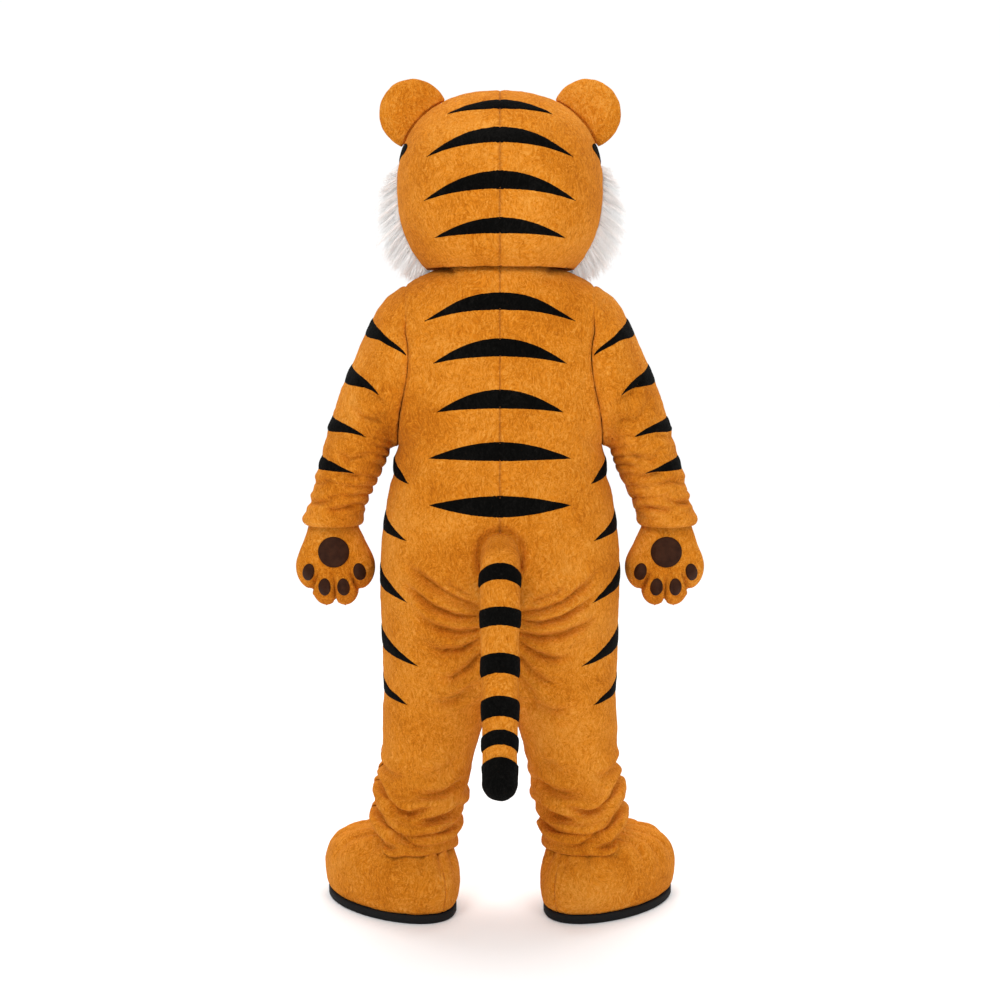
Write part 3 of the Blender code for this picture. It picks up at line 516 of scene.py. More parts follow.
arm = (      # outer x and height, inner x and height, depth, middle y; the first row is the armhole
    (0.222, 1.467, 0.242, 1.101, 0.128, 0.000),
    (0.264, 1.440, 0.253, 1.094, 0.126, 0.001),
    (0.304, 1.374, 0.259, 1.080, 0.119, 0.003),
    (0.344, 1.288, 0.266, 1.058, 0.110, 0.006),
    (0.384, 1.192, 0.278, 1.030, 0.101, 0.009),
    (0.413, 1.096, 0.291, 1.004, 0.093, 0.011),
    (0.434, 1.024, 0.305, 0.974, 0.086, 0.012),
    (0.449, 0.972, 0.316, 0.948, 0.080, 0.012),
    (0.461, 0.936, 0.324, 0.928, 0.077, 0.012),
    (0.462, 0.911, 0.327, 0.909, 0.074, 0.012),
)
armLevels = tuple((k, *row) for k, row in enumerate(arm))


def armholeTurn(height, depth):
    # where the body stops at the armhole, as a turn from the side
    share = (height - cut["armholeMiddle"]) / cut["armholeRise"]
    reach = cut["armholeDepth"] * root(1 - share * share, 0.5)
    turn = np.arcsin(np.minimum(reach / depth, 1.0) ** (sectionPower / 2))
    return np.where(height > cut["underarm"], turn, 0.0)


def section(side, face, u, height):
    # face -1 behind and 1 in front; u 0 at the middle or inside leg and 1 at the side
    outer, lobe, behind, before, middle = readTable(body, height)
    lobe = np.maximum(lobe, 0.0)
    depth = behind if face < 0 else before
    width = outer - lobe
    start = np.where(lobe > 0, np.arccos(-np.minimum(lobe / width, 1.0) ** (sectionPower / 2)), pi / 2)
    angle = start + (armholeTurn(height, depth) - start) * u
    bulge = np.zeros_like(angle)
    for at, drop, reach in ankleRolls:
        bulge = bulge + reach * bell((height - at + drop * (1 - np.cos(angle)) / 2) / ankleSpread)
    x = lobe + (width + bulge) * curved(np.cos(angle), 2 / sectionPower)
    y = middle + face * (depth + bulge) * np.abs(np.sin(angle)) ** (2 / sectionPower)
    return join3(side * x, y, height + 0 * x)


def torso(side, face, u, v):
    # v 0 to 1 rolls from the shoulder seam to the chest; past 1 it is metres below the chest
    u, v = np.broadcast_arrays(np.asarray(u, float), np.asarray(v, float))
    low = section(side, face, u, cut["chest"] - np.maximum(v - 1, 0))
    chest = section(side, face, u, cut["chest"] + 0 * u)
    x = cut["shoulderX"] * np.sin(u * pi / 2)
    topY = face * cut["neckY"] * root(1 - (x / cut["neckX"]) ** 2, 0.5)
    slope = root((x - cut["neckFlat"]) / (cut["shoulderX"] - cut["neckFlat"]), 2.2)
    top = join3(side * x, topY, cut["neckTop"] + (cut["shoulderTop"] - cut["neckTop"]) * slope)
    turn = (1 - np.clip(v, 0, 1)) * pi / 2
    rise, inward = np.sin(turn) ** cut["roll"], root(np.cos(turn), cut["roll"])
    high = join3(top[..., 0] + (chest[..., 0] - top[..., 0]) * inward,
                 top[..., 1] + (chest[..., 1] - top[..., 1]) * inward,
                 chest[..., 2] + (top[..., 2] - chest[..., 2]) * rise)
    return np.where((v >= 1)[..., None], low, high)


def levelOf(height, top):
    # v at a height, where the shoulder seam is at top
    over = np.clip((height - cut["chest"]) / (top - cut["chest"]), 0, 1)
    return np.where(height <= cut["chest"], 1 + cut["chest"] - height,
                    1 - np.arcsin(over ** (1 / cut["roll"])) * 2 / pi)


def sleeve(side, angle, level):
    # angle 0 along the outside of the arm, positive to the back; level counts the rows of arm
    outerX, outerZ, innerX, innerZ, depth, middle = readTable(armLevels, level)
    out, inn = join3(outerX, middle, outerZ), join3(innerX, middle, innerZ)
    c = np.cos(angle)[..., None]
    point = (out + inn) / 2 + (out - inn) / 2 * c
    point[..., 1] -= depth * np.sin(angle)
    height = cut["armholeMiddle"] + cut["armholeRise"] * np.cos(angle)
    v = levelOf(height, cut["shoulderTop"])
    edge = np.where((np.sin(angle) > 0)[..., None], torso(1, -1, 1.0, v), torso(1, 1, 1.0, v))
    edge[..., 0] -= 0.0015      # the seam lies just inside the armhole
    share = np.where(level < 1, np.sin(np.clip(level, 0, 1) * pi / 2), 1.0)[..., None]
    point = edge * (1 - share) + point * share
    point[..., 0] *= side
    return point


# boots stand turned out; the upper closes towards the shaft inside the trouser leg
boot = dict(x=0.256, y=0.008, yaw=radians(40), shaftX=0.203, shaftY=-0.036, taper=0.11)
bootRows = (      # height, length of half, half width, how far the middle has moved to the shaft
    (0.0205, 0.193, 0.124, 0.00),
    (0.045, 0.202, 0.131, 0.00),
    (0.085, 0.204, 0.133, 0.00),
    (0.122, 0.192, 0.126, 0.05),
    (0.152, 0.163, 0.111, 0.18),
    (0.173, 0.122, 0.094, 0.50),
    (0.188, 0.090, 0.083, 0.88),
    (0.225, 0.080, 0.079, 1.00),
)
sole = dict(thickness=0.020, halfLength=0.195, halfWidth=0.126)
soleEdge = (      # height, how far the rounded edge is drawn in
    (0.0, 0.0045),
    (0.0008, 0.0016),
    (0.0035, 0.0),
    (0.0165, 0.0),
    (0.0190, 0.0012),
    (0.0200, 0.0040),
)
bootWall = 0.006


def bootPoint(side, turn, height, inset=0.0, halfLength=None, halfWidth=None, moved=None):
    length, width, shift = readTable(bootRows, height)
    halfLength = length if halfLength is None else halfLength
    halfWidth = width if halfWidth is None else halfWidth
    moved = np.clip(shift, 0, 1) if moved is None else moved
    ahead = (side * sin(boot["yaw"]), cos(boot["yaw"]))
    across = (side * ahead[1], -side * ahead[0])
    middleX = side * (boot["x"] + (boot["shaftX"] - boot["x"]) * moved)
    middleY = boot["y"] + (boot["shaftY"] - boot["y"]) * moved
    taper = 1 + boot["taper"] * (1 - moved) * np.cos(turn)
    along, beside = (halfLength - inset) * np.cos(turn), (halfWidth - inset) * taper * np.sin(turn)
    return join3(middleX + ahead[0] * along + across[0] * beside,
                 middleY + ahead[1] * along + across[1] * beside, height)


def bootTop(x, y):
    # the height of the boot's upper over places beside the right ankle
    low, high = np.full_like(x, bootRows[0][0]), np.full_like(x, bootRows[-1][0])
    for _ in range(14):
        height = (low + high) / 2
        length, width, moved = readTable(bootRows, height)
        ahead = (sin(boot["yaw"]), cos(boot["yaw"]))
        dx = x - (boot["x"] + (boot["shaftX"] - boot["x"]) * moved)
        dy = y - (boot["y"] + (boot["shaftY"] - boot["y"]) * moved)
        along = (dx * ahead[0] + dy * ahead[1]) / length
        taper = 1 + boot["taper"] * (1 - moved) * np.clip(along, -1, 1)
        inside = along ** 2 + ((dx * ahead[1] - dy * ahead[0]) / width / taper) ** 2 < 1
        low, high = np.where(inside, height, low), np.where(inside, high, height)
    return low


def hemHeight(face, u):
    height = np.full_like(u, cut["hem"])
    for _ in range(4):
        tops = []
        for beside in (-cut["hemReach"], 0, cut["hemReach"]):
            edge = section(1, face, np.clip(u + beside, 0, 1), height)
            tops.append(bootTop(edge[..., 0], edge[..., 1]))
        height = np.maximum(cut["hem"], np.max(tops, 0) + cut["hemClearance"])
    return height


seatFolds = (      # depth, width, then x (wearer's right) and height along each crease
    (0.0085, 0.0075, ((0.042, 0.737), (0.095, 0.743), (0.145, 0.760), (0.200, 0.796), (0.232, 0.826))),
    (0.0080, 0.0060, ((0.042, 0.722), (0.087, 0.714), (0.135, 0.724), (0.190, 0.752), (0.222, 0.776))),
    (0.0065, 0.0070, ((0.070, 0.762), (0.120, 0.775), (0.165, 0.800))),
    (0.0080, 0.0075, ((0.043, 0.694), (0.085, 0.680), (0.135, 0.682), (0.200, 0.704), (0.235, 0.722))),
    (0.0080, 0.0070, ((0.042, 0.674), (0.079, 0.642), (0.122, 0.626), (0.170, 0.632))),
    (0.0070, 0.0080, ((0.042, 0.640), (0.066, 0.604), (0.098, 0.574), (0.142, 0.560))),
    (0.0060, 0.0080, ((0.040, 0.596), (0.062, 0.560), (0.086, 0.530))),
    (0.0085, 0.0080, ((-0.042, 0.748), (-0.090, 0.766), (-0.142, 0.791), (-0.190, 0.822), (-0.222, 0.836))),
    (0.0080, 0.0070, ((-0.042, 0.730), (-0.100, 0.730), (-0.150, 0.746), (-0.200, 0.780), (-0.232, 0.800))),
    (0.0065, 0.0070, ((-0.060, 0.775), (-0.105, 0.796), (-0.140, 0.818))),
    (0.0070, 0.0080, ((-0.042, 0.702), (-0.095, 0.690), (-0.150, 0.702), (-0.210, 0.736))),
    (0.0075, 0.0075, ((-0.042, 0.680), (-0.085, 0.652), (-0.135, 0.644), (-0.180, 0.656))),
    (0.0070, 0.0080, ((-0.042, 0.646), (-0.070, 0.608), (-0.105, 0.582), (-0.150, 0.574))),
    (0.0055, 0.0090, ((-0.055, 0.560), (-0.110, 0.524), (-0.170, 0.515))),
    (0.0055, 0.0090, ((0.070, 0.520), (0.120, 0.500), (0.180, 0.508))),
)
legFolds = (      # for one leg; the other is its mirror, shifted a little
    (0.0085, 0.0065, ((0.284, 0.312), (0.258, 0.282), (0.230, 0.262), (0.204, 0.256), (0.172, 0.266),
                      (0.145, 0.282))),
    (0.0085, 0.0065, ((0.100, 0.214), (0.145, 0.207), (0.190, 0.204), (0.240, 0.212), (0.275, 0.226))),
    (0.0085, 0.0065, ((0.292, 0.250), (0.262, 0.228), (0.225, 0.200), (0.190, 0.182), (0.150, 0.174))),
    (0.0075, 0.0065, ((0.092, 0.262), (0.120, 0.246), (0.155, 0.238), (0.185, 0.240))),
    (0.0065, 0.0070, ((0.088, 0.318), (0.125, 0.302), (0.165, 0.298), (0.205, 0.306))),
    (0.0045, 0.0080, ((0.298, 0.352), (0.250, 0.338), (0.210, 0.342))),
    (0.0040, 0.0090, ((0.100, 0.372), (0.150, 0.352), (0.200, 0.356))),
    (0.0055, 0.0060, ((0.300, 0.196), (0.262, 0.178), (0.215, 0.172))),
)
trunkFolds = (      # soft pulls from the underarm, for both sides
    (0.0040, 0.0110, ((0.262, 1.085), (0.205, 1.120), (0.165, 1.175))),
    (0.0035, 0.0120, ((0.268, 1.020), (0.215, 1.050), (0.165, 1.070))),
)
seam = dict(depth=0.0015, width=0.0030, ridge=0.0009, ridgeFrom=0.011, ridgeWidth=0.006, armhole=0.0030,
            side=0.0008, sideWidth=0.0060)
foldDepth = dict(seat=2.2, leg=2.2, arm=1.6, width=1.1)      # shares of what the tables say
drape = dict(legFrom=0.50, legOver=0.3, leg=0.004, body=0.0025, legFoldTop=0.42)
drawnIn = dict(hem=0.005, cuff=0.007)
tailRoot = dict(height=0.868, radius=0.047, stretch=1.1, depth=0.0170, width=0.009)


def pileRelief(points, amount=1.0):
    return amount * (0.0012 * noiseAt(points, 34, 3.1) + 0.0008 * noiseAt(points, (95, 95, 60), 7.7))


def middleSeam(x):
    # the seam down the middle lies in a groove between two low ridges
    ridges = seam["ridge"] * bell((np.abs(x) - seam["ridgeFrom"]) / seam["ridgeWidth"])
    return ridges - seam["depth"] * bell(x / seam["width"])


def suitRelief(points, face, edgeGap=None):
    x, height = points[..., 0], points[..., 2]
    total = pileRelief(points)
    if face < 0:
        total += foldDepth["seat"] * creases(seatFolds, x, height)
    else:
        total += creases(seatFolds[3:6] + seatFolds[10:13], x, height - 0.02)
    side = np.sign(x) + (x == 0)
    ankle = creases(legFolds, np.abs(x) + 0.004 * side, height + 0.003 * side * (face + 0.5))
    total += np.where(height < drape["legFoldTop"], foldDepth["leg"] * ankle, 0)
    total += creases(trunkFolds, np.abs(x), height)
    loose = np.clip((drape["legFrom"] - height) / drape["legOver"], 0, 1)      # most at the ankle
    total += drape["leg"] * loose * noiseAt(points, (9, 9, 34), 12.5)
    total += drape["body"] * noiseAt(points, (7, 7, 9), 21.0)
    total += middleSeam(x) * (height > cut["crotch"])
    if face < 0:      # the seat is drawn in where the tail is sewn on
        away = np.hypot(x, (height - tailRoot["height"]) / tailRoot["stretch"])
        total -= tailRoot["depth"] * bell((away - tailRoot["radius"]) / tailRoot["width"])
    if edgeGap is not None:
        sewn = np.where(height > cut["underarm"], seam["armhole"], seam["side"])
        total -= sewn * bell(edgeGap / seam["sideWidth"])
    return total


def gapFromEnd(points):
    steps = np.linalg.norm(np.diff(points, axis=1), axis=-1)
    run = np.concatenate([np.zeros((len(points), 1)), np.cumsum(steps, 1)], 1)
    return run[:, -1:] - run


def stepped(*parts):
    # rows of places: (start, end, count) parts laid end to end
    places = []
    for start, end, count in parts:
        places += list(np.linspace(start, end, count, endpoint=False))
    return np.array(places + [parts[-1][1]])


suitWall = 0.003
seamPaths = {}


def makeSuit():
    for word, side in sides:
        for place, face, columns in (("Back", -1, 82), ("Front", 1, 46)):
            u = np.linspace(0, 1, columns)
            # rows over the shoulder, down the back, over the seat, and down to the leg
            knee = 1 + cut["chest"] - cut["legStart"]
            vs, us = mesh(stepped((0, 1, 26), (1, 1.52, 70), (1.52, 1.87, 92), (1.87, knee, 26)), u)
            hem = hemHeight(face, u)
            shares = np.linspace(0, 1, 61)[1:]      # the leg's rows, down to a hem that isn't level
            legV = knee - (hem[None] - cut["legStart"]) * shares[:, None]
            vs, us = np.vstack([vs, legV]), np.vstack([us, np.repeat(u[None], len(shares), 0)])
            base = torso(side, face, us, vs)
            outward = side * face
            n = normalsOf(base, outward)
            n[0] = n[1]
            relief = suitRelief(base, face, gapFromEnd(base))
            last = np.arange(len(base))[:, None] - (len(base) - 1)
            relief = relief - drawnIn["hem"] * np.exp(last / 1.6)
            name = f"suit{place}{word}"
            points = sewPanel(name, base, n, relief, outward, suitWall)
            seamPaths[name] = (points[:, 0], n[:, 0])


wrinkle = dict(pitch=0.026, depth=0.0078, top=1.27, topFade=0.12, slope=0.12, steeper=0.55, steepFrom=1.06,
               cuff=0.926, cuffBulge=0.0070, cuffWidth=0.0130, tighter=0.0032, drape=0.0024)
armhole = dict(levelSize=0.052, ridge=0.0022, ridgeAt=0.016, ridgeWidth=0.012, groove=0.0026, width=0.006)
armFolds = (      # on the back of the arm: depth, width, then x and height along each crease
    (0.0065, 0.0055, ((0.300, 1.078), (0.345, 1.070), (0.378, 1.092))),
    (0.0055, 0.0055, ((0.440, 1.010), (0.400, 1.022), (0.352, 1.008))),
    (0.0050, 0.0055, ((0.322, 1.030), (0.360, 1.040), (0.392, 1.030))),
    (0.0065, 0.0055, ((0.448, 0.968), (0.405, 0.972), (0.372, 0.988))),
    (0.0060, 0.0055, ((0.334, 0.958), (0.372, 0.952), (0.420, 0.956))),
    (0.0050, 0.0070, ((0.268, 1.160), (0.312, 1.168), (0.350, 1.200))),
    (0.0045, 0.0080, ((0.262, 1.205), (0.300, 1.226), (0.330, 1.262))),
    (0.0035, 0.0080, ((0.402, 1.120), (0.370, 1.128), (0.338, 1.118))),
)


def armRelief(points, angle, level):
    height = points[..., 2]
    inside = (1 - np.cos(angle)) / 2
    total = pileRelief(points)
    # the sleeve is too long and gathers: many small rolls, deepest on the inner side
    x = np.abs(points[..., 0])
    slope = wrinkle["slope"] + wrinkle["steeper"] * np.clip((height - wrinkle["steepFrom"]) / 0.14, 0, 1)
    run = (height - slope * (x - 0.36)) / wrinkle["pitch"] + 0.85 * noiseAt(points, (13, 13, 9), 4.4)
    strength = (0.30 + 0.70 * inside) * (0.75 + 0.7 * noiseAt(points, (17, 17, 17), 8.8))
    fade = np.clip((wrinkle["top"] - height) / wrinkle["topFade"], 0, 1)
    fade = fade * np.clip((height - wrinkle["cuff"] - 0.010) / 0.014, 0, 1)
    total += wrinkle["depth"] * fade * strength * (np.abs(np.sin(pi * run)) ** 0.8 - 0.72)
    total += wrinkle["cuffBulge"] * bell((height - wrinkle["cuff"] + 0.004 * inside) / wrinkle["cuffWidth"])
    total -= wrinkle["tighter"] * np.clip((1.20 - height) / 0.2, 0, 1)
    total += wrinkle["drape"] * noiseAt(points, (9, 9, 13), 31.0)
    behind = np.clip(np.sin(angle) * 1.6 + 0.6, 0, 1)      # the front has the same folds, a little lower
    total += foldDepth["arm"] * creases(armFolds, x, height) * behind
    total += foldDepth["arm"] * creases(armFolds, x, height + 0.012) * (1 - behind)
    gap = np.clip(level, 0, 1.4) * armhole["levelSize"]
    total += armhole["ridge"] * bell((gap - armhole["ridgeAt"]) / armhole["ridgeWidth"])
    return total - armhole["groove"] * bell(gap / armhole["width"])


def makeSleeves():
    angles = np.linspace(0, 2 * pi, 88, endpoint=False)
    levels = stepped((0.001, 1, 14), (1, 4, 58), (4, 9, 100))
    for word, side in sides:
        ls, angs = mesh(levels, angles)
        base = sleeve(side, angs, ls)
        n = normalsOf(base, side, True)
        relief = armRelief(base, angs, ls)
        last = np.arange(len(base))[:, None] - (len(base) - 1)
        relief -= drawnIn["cuff"] * np.exp(last / 1.7)
        sewPanel(f"sleeve{word}", base, n, relief, side, suitWall,
                 True)


makeSuit()
makeSleeves()
print("suit and sleeves sewn")


headShape = dict(middle=1.690, up=0.217, down=0.241, bottom=1.506, width=0.236, back=0.226, front=0.222,
                 power=2.3)
headSeam = radians(-4)
headWall, headDrape = 0.009, 0.0018


def head(side, angle, polar):
    # angle 0 at the side, positive to the front; polar 0 at the crown
    rise = curved(np.cos(polar), 2 / headShape["power"])
    spread = np.abs(np.sin(polar)) ** (2 / headShape["power"])
    height = headShape["middle"] + rise * np.where(rise > 0, headShape["up"], headShape["down"])
    depth = np.where(np.sin(angle) > 0, headShape["front"], headShape["back"])
    x = headShape["width"] * spread * curved(np.cos(angle), 2 / sectionPower)
    y = depth * spread * curved(np.sin(angle), 2 / sectionPower)
    return join3(side * x, y, height)


def faceOf(turn, polar):
    # turn 0 at the middle of the face, positive to the wearer's right
    side = np.where(turn > 0, 1, -1)
    return head(side, pi / 2 - np.abs(turn), polar)


def polarOf(height):
    rise = height - headShape["middle"]
    rise = rise / np.where(rise > 0, headShape["up"], headShape["down"])
    return np.arccos(curved(np.clip(rise, -1, 1), headShape["power"] / 2))


def outsideHead(p):
    # above 1 outside the head, below 1 inside it
    depth = headShape["front"] if p[1] > 0 else headShape["back"]
    rise = p[2] - headShape["middle"]
    around = abs(p[0] / headShape["width"]) ** sectionPower + abs(p[1] / depth) ** sectionPower
    up = abs(rise / (headShape["up"] if rise > 0 else headShape["down"])) ** headShape["power"]
    return around ** (headShape["power"] / sectionPower) + up


def headRelief(points, seamGap=None):
    x = points[..., 0]
    total = pileRelief(points) + headDrape * noiseAt(points, (10, 10, 8), 5.5)
    total += (points[..., 1] < 0) * middleSeam(x)
    if seamGap is not None:
        total -= seam["depth"] * bell(seamGap / seam["width"])
    return total


def makeHead():
    polars = np.concatenate([np.linspace(radians(0.05), radians(24), 14)[:-1],
                             np.linspace(radians(24), float(polarOf(headShape["bottom"])), 96)])
    for word, side in sides:
        ps, angs = mesh(polars, np.linspace(-pi / 2, headSeam, 56))
        base = head(side, angs, ps)
        n = normalsOf(base, -side)
        name = f"headBack{word}"
        points = sewPanel(name, base, n, headRelief(base, gapFromEnd(base)), -side, headWall)
        seamPaths[name] = (points[:, 0], n[:, 0])
    reach = pi / 2 - headSeam
    ps, turns = mesh(polars, np.linspace(-reach, reach, 97))
    base = faceOf(turns, ps)
    n = normalsOf(base, 1)
    gap = np.minimum(gapFromEnd(base), gapFromEnd(base[:, ::-1])[:, ::-1])
    sewPanel("headFront", base, n, headRelief(base, gap), 1, headWall)


ear = dict(x=0.198, height=1.858, radius=0.079, depth=0.026, lean=radians(38), stand=1.03, dish=0.009,
           rings=30, spokes=56, footRings=14, seamDepth=0.0016, seamWidth=0.003)


def makeEars():
    for word, side in sides:
        middle = np.array((side * ear["x"], 0.0, ear["height"]))
        out = np.array((side * sin(ear["lean"]), 0.0, cos(ear["lean"])))
        across = np.array((out[2], 0, -out[0]))
        rings = []
        for k in range(ear["rings"]):
            # rings from the foot in the head out to the tip
            reach = ear["radius"] * (-0.62 + 1.615 * sin(k / (ear["rings"] - 1) * pi / 2) ** 0.9)
            half = sqrt(ear["radius"] ** 2 - reach ** 2)
            depth = ear["depth"] * (half / ear["radius"]) ** 0.6
            ring = []
            for j in range(ear["spokes"]):
                turn = 2 * pi * j / ear["spokes"]
                p = middle + out * reach + across * half * cos(turn) + np.array((0, depth * sin(turn), 0))
                while k < ear["footRings"] and outsideHead(p) < ear["stand"] + 0.02:      # out of the head
                    p = p + out * 0.001
                while k == 0 and outsideHead(p) > ear["stand"]:      # and down on to it
                    p = p - out * 0.0005
                ring.append(p)
            rings.append(ring)
        base = np.array(rings)
        n, outward = facingOut(base, middle)
        away = np.linalg.norm(base - middle, axis=-1) / ear["radius"]
        # the seam round the rim, between the ear's two faces
        relief = pileRelief(base) - ear["seamDepth"] * bell(base[..., 1] / ear["seamWidth"])
        front = np.clip(base[..., 1] / ear["depth"], 0, 1) ** 0.5
        relief -= ear["dish"] * front * bell(away / 0.62)
        points = base + n * relief[..., None]
        tip = middle + out * (ear["radius"] * 0.999)
        foot = points[0].mean(0) - out * 0.004
        made = gridPiece(f"ear{word}", points, outward, True, (("first", foot), ("last", tip)))
        finishPiece(made, orange)


def strandFaces(first, joints):
    # a flat strand of pairs of points that ends in one point
    faces = []
    for k in range(joints - 1):
        a = first + 2 * k
        faces.append((a, a + 1, a + 3, a + 2))
    last = first + 2 * (joints - 1)
    faces.append((last, last + 1, last + 2))
    return faces


cheek = dict(start=radians(-1), end=radians(52), top=1.736, bottom=1.508, reach=0.072, least=0.010, tufts=620,
             strands=17, width=0.0013, joints=3, footSpread=0.0042, tipSpread=0.0030, bow=0.16, sag=0.06)


def cheekPlace(down, turn):
    # height and angle on the head; the patch is narrow at its top and bottom
    share = 0.25 + 0.75 * root(1 - np.abs(2 * down - 1) ** 2.2, 0.6)
    height = cheek["top"] + (cheek["bottom"] - cheek["top"]) * down
    return height, cheek["start"] + (cheek["end"] - cheek["start"]) * turn * share


def cheekReach(down, turn):
    # how far the fur stands off the head
    full = np.sin(pi * (down * 0.90 + 0.02)) ** 0.62 * (1 - turn) ** 0.42
    return cheek["least"] + cheek["reach"] * full


def randomStep(draw, size):
    return np.array([draw.gauss(0, size) for _ in range(3)])


def makeCheeks():
    for word, side in sides:
        draw = random.Random(31 + side)
        points, faces = [], []
        downs, turns = mesh(np.linspace(0, 1, 40), np.linspace(0, 1, 34))
        heights, angles = cheekPlace(downs, turns)
        skin = head(side, angles, polarOf(heights))
        n = normalsOf(skin, -side)
        edge = np.minimum(np.minimum(downs, 1 - downs) * 9, np.minimum(turns * 6, (1 - turns) * 5))
        rim = edge.clip(0, 1) ** 0.5
        lumps = 1 + 0.5 * noiseAt(skin, (42, 42, 20), 2.2)
        backing = skin + n * ((0.0015 + 0.30 * cheekReach(downs, turns) * lumps) * rim)[..., None]
        pad = thicken(gridPiece(f"cheekBacking{word}", backing, -side), 0.001)
        finishPiece(pad, white, False)
        for _ in range(cheek["tufts"]):
            down, turn = draw.random(), draw.random() ** 1.25
            height, angle = map(float, cheekPlace(down, turn))
            polar = float(polarOf(height))
            centre = head(side, angle, polar)
            near = np.array([[0, 0.01], [0, 0.01]])
            patch = head(side, angle + near, polar + near.T)
            out = normalsOf(patch, -side)[0, 0]
            reach = float(cheekReach(down, turn)) * draw.uniform(0.82, 1.18)
            # combed down and a little forward, more so towards the jaw
            aim = out + (np.array((0.0, -0.10 + 0.30 * turn, -0.42 - 0.75 * down)) + randomStep(draw, 0.10))
            aim /= np.linalg.norm(aim)
            gather = centre + aim * reach
            for _ in range(cheek["strands"]):
                spread = randomStep(draw, cheek["footSpread"])
                foot = centre + spread - out * spread.dot(out) + out * 0.0006
                tip = gather + randomStep(draw, cheek["tipSpread"]) - aim * reach * draw.uniform(0, 0.25)
                bow = out * reach * cheek["bow"] + np.array((0, 0, -cheek["sag"] * reach))
                wide = np.cross(aim, [draw.gauss(0, 1) for _ in range(3)])
                wide = wide / np.linalg.norm(wide) * cheek["width"] / 2
                first = len(points)
                for k in range(cheek["joints"]):
                    t = k / cheek["joints"]
                    p = foot * (1 - t) + tip * t + bow * 2 * t * (1 - t)
                    points += [p - wide * (1 - 0.55 * t), p + wide * (1 - 0.55 * t)]
                points.append(tip)
                faces += strandFaces(first, cheek["joints"])
        finishPiece(toMesh(f"cheekFur{word}", points, faces), fur)


muzzle = dict(height=1.602, spread=radians(30), rise=0.078, reach=0.058)
nose = dict(height=1.640, spread=radians(7.5), rise=0.020, reach=0.016)
eye = dict(height=1.716, turn=radians(22), spread=radians(6.5), rise=0.033, reach=0.008)


def dome(name, turn, shape, lift, finish, relief=None, rings=20, spokes=52):
    # a raised oval on the face, from its rim to its middle
    shares = np.sin(np.linspace(0, pi / 2, rings))[::-1]
    rs, spins = mesh(shares[:-1], np.linspace(0, 2 * pi, spokes, endpoint=False))
    across, up = rs * np.cos(spins), rs * np.sin(spins)

    def place(a, b):
        at, polar = turn + a * shape["spread"], polarOf(shape["height"] + b * shape["rise"])
        base = faceOf(at, polar)
        step = 1e-4
        wide = faceOf(at + step, polar) - faceOf(at - step, polar)
        down = faceOf(at, polar + step) - faceOf(at, polar - step)
        n = np.cross(wide, down)
        n /= np.linalg.norm(n, axis=-1, keepdims=True)
        crown = root(1 - a * a - b * b, 0.5)
        return base + n * (lift + shape["reach"] * crown)[..., None]
    points = place(across, up)
    middle = place(np.zeros((1, 1)), np.zeros((1, 1)))[0, 0]
    if relief is not None:
        n = normalsOf(points, 1, True)
        outward = 1 if n[..., 1].sum() > 0 else -1
        points = points + n * outward * relief(points, across, up)[..., None]
        middle = points[-1].mean(0)
    spin = normalsOf(points, 1, True)[..., 1].sum()
    made = gridPiece(name, points, 1 if spin > 0 else -1, True, (("last", middle),))
    return finishPiece(thicken(made, 0.0015), finish)


def makeFace():
    def muzzleRelief(points, across, up):
        # a split down from the nose
        return pileRelief(points) - 0.010 * (up < 0.25) * bell(across / 0.045)
    dome("muzzle", 0.0, muzzle, 0.0, white, muzzleRelief)
    dome("nose", 0.0, nose, 0.053, noseSkin)
    for word, side in sides:
        dome(f"eye{word}", side * eye["turn"], eye, 0.0006, eyeGloss)


makeHead()
makeEars()
makeCheeks()
makeFace()
print("head, ears, fur and face made")


# a glove is a flat pouch with a fan of four fingers round the middle of the palm
glove = dict(x=0.389, middle=0.842, y=0.012, wrist=0.958, wristX=0.386, wristWidth=0.051, cuffX=0.393,
             cuffWidth=0.060, wristDepth=0.050, palmDepth=0.043, cuff=0.905, cuffShare=0.2, fan=radians(94))
fingers = (      # degrees from straight down, reach at the notch, reach at the fingertip, lean
    (0.0, 0.104, 0.124, 0.88),
    (34.0, 0.092, 0.104, 0.60),
    (94.0, 0.079, 0.079, 1.0),
)
gloveWall = 0.004


def gloveEdge(share):
    # how far the outline is from the middle of the palm
    angle = np.abs(share) * degrees(glove["fan"])
    total = np.full_like(angle, fingers[-1][1])
    for (start, near, tip, lean), (stop, nextNear, _, _) in zip(fingers, fingers[1:]):
        t = np.clip((angle - start) / (stop - start), 0, 1)
        finger = (tip - (near + nextNear) / 2) * root(np.sin(pi * t ** lean), 0.6)
        here = near + (nextNear - near) * t + finger
        total = np.where((angle >= start) & (angle <= stop), here, total)
    return total


def glovePoint(side, share, v, face):
    # share -1 to 1 across, v 0 at the wrist and 1 at the fingertips
    flow = np.maximum(v - glove["cuffShare"], 0.0) / (1 - glove["cuffShare"])
    intoCuff = np.minimum(v / glove["cuffShare"], 1.0)
    turn, edge = share * glove["fan"], gloveEdge(share)
    width = glove["wristWidth"] + (glove["cuffWidth"] - glove["wristWidth"]) * intoCuff
    x = glove["wristX"] + (glove["cuffX"] - glove["wristX"]) * intoCuff + share * width
    z = glove["wrist"] + (glove["cuff"] - glove["wrist"]) * intoCuff
    x = x + (glove["x"] + np.sin(turn) * edge - x) * flow
    z = z + (glove["middle"] - np.cos(turn) * edge - z) * flow
    t = np.clip(v, 0, 1)
    depth = glove["wristDepth"] + (glove["palmDepth"] - glove["wristDepth"]) * t * t * (3 - 2 * t)
    depth = depth * root(1 - np.abs(share) ** 2.2, 0.5) * root(1 - t ** 5, 0.5)
    return join3(side * x, glove["y"] + face * depth, z)


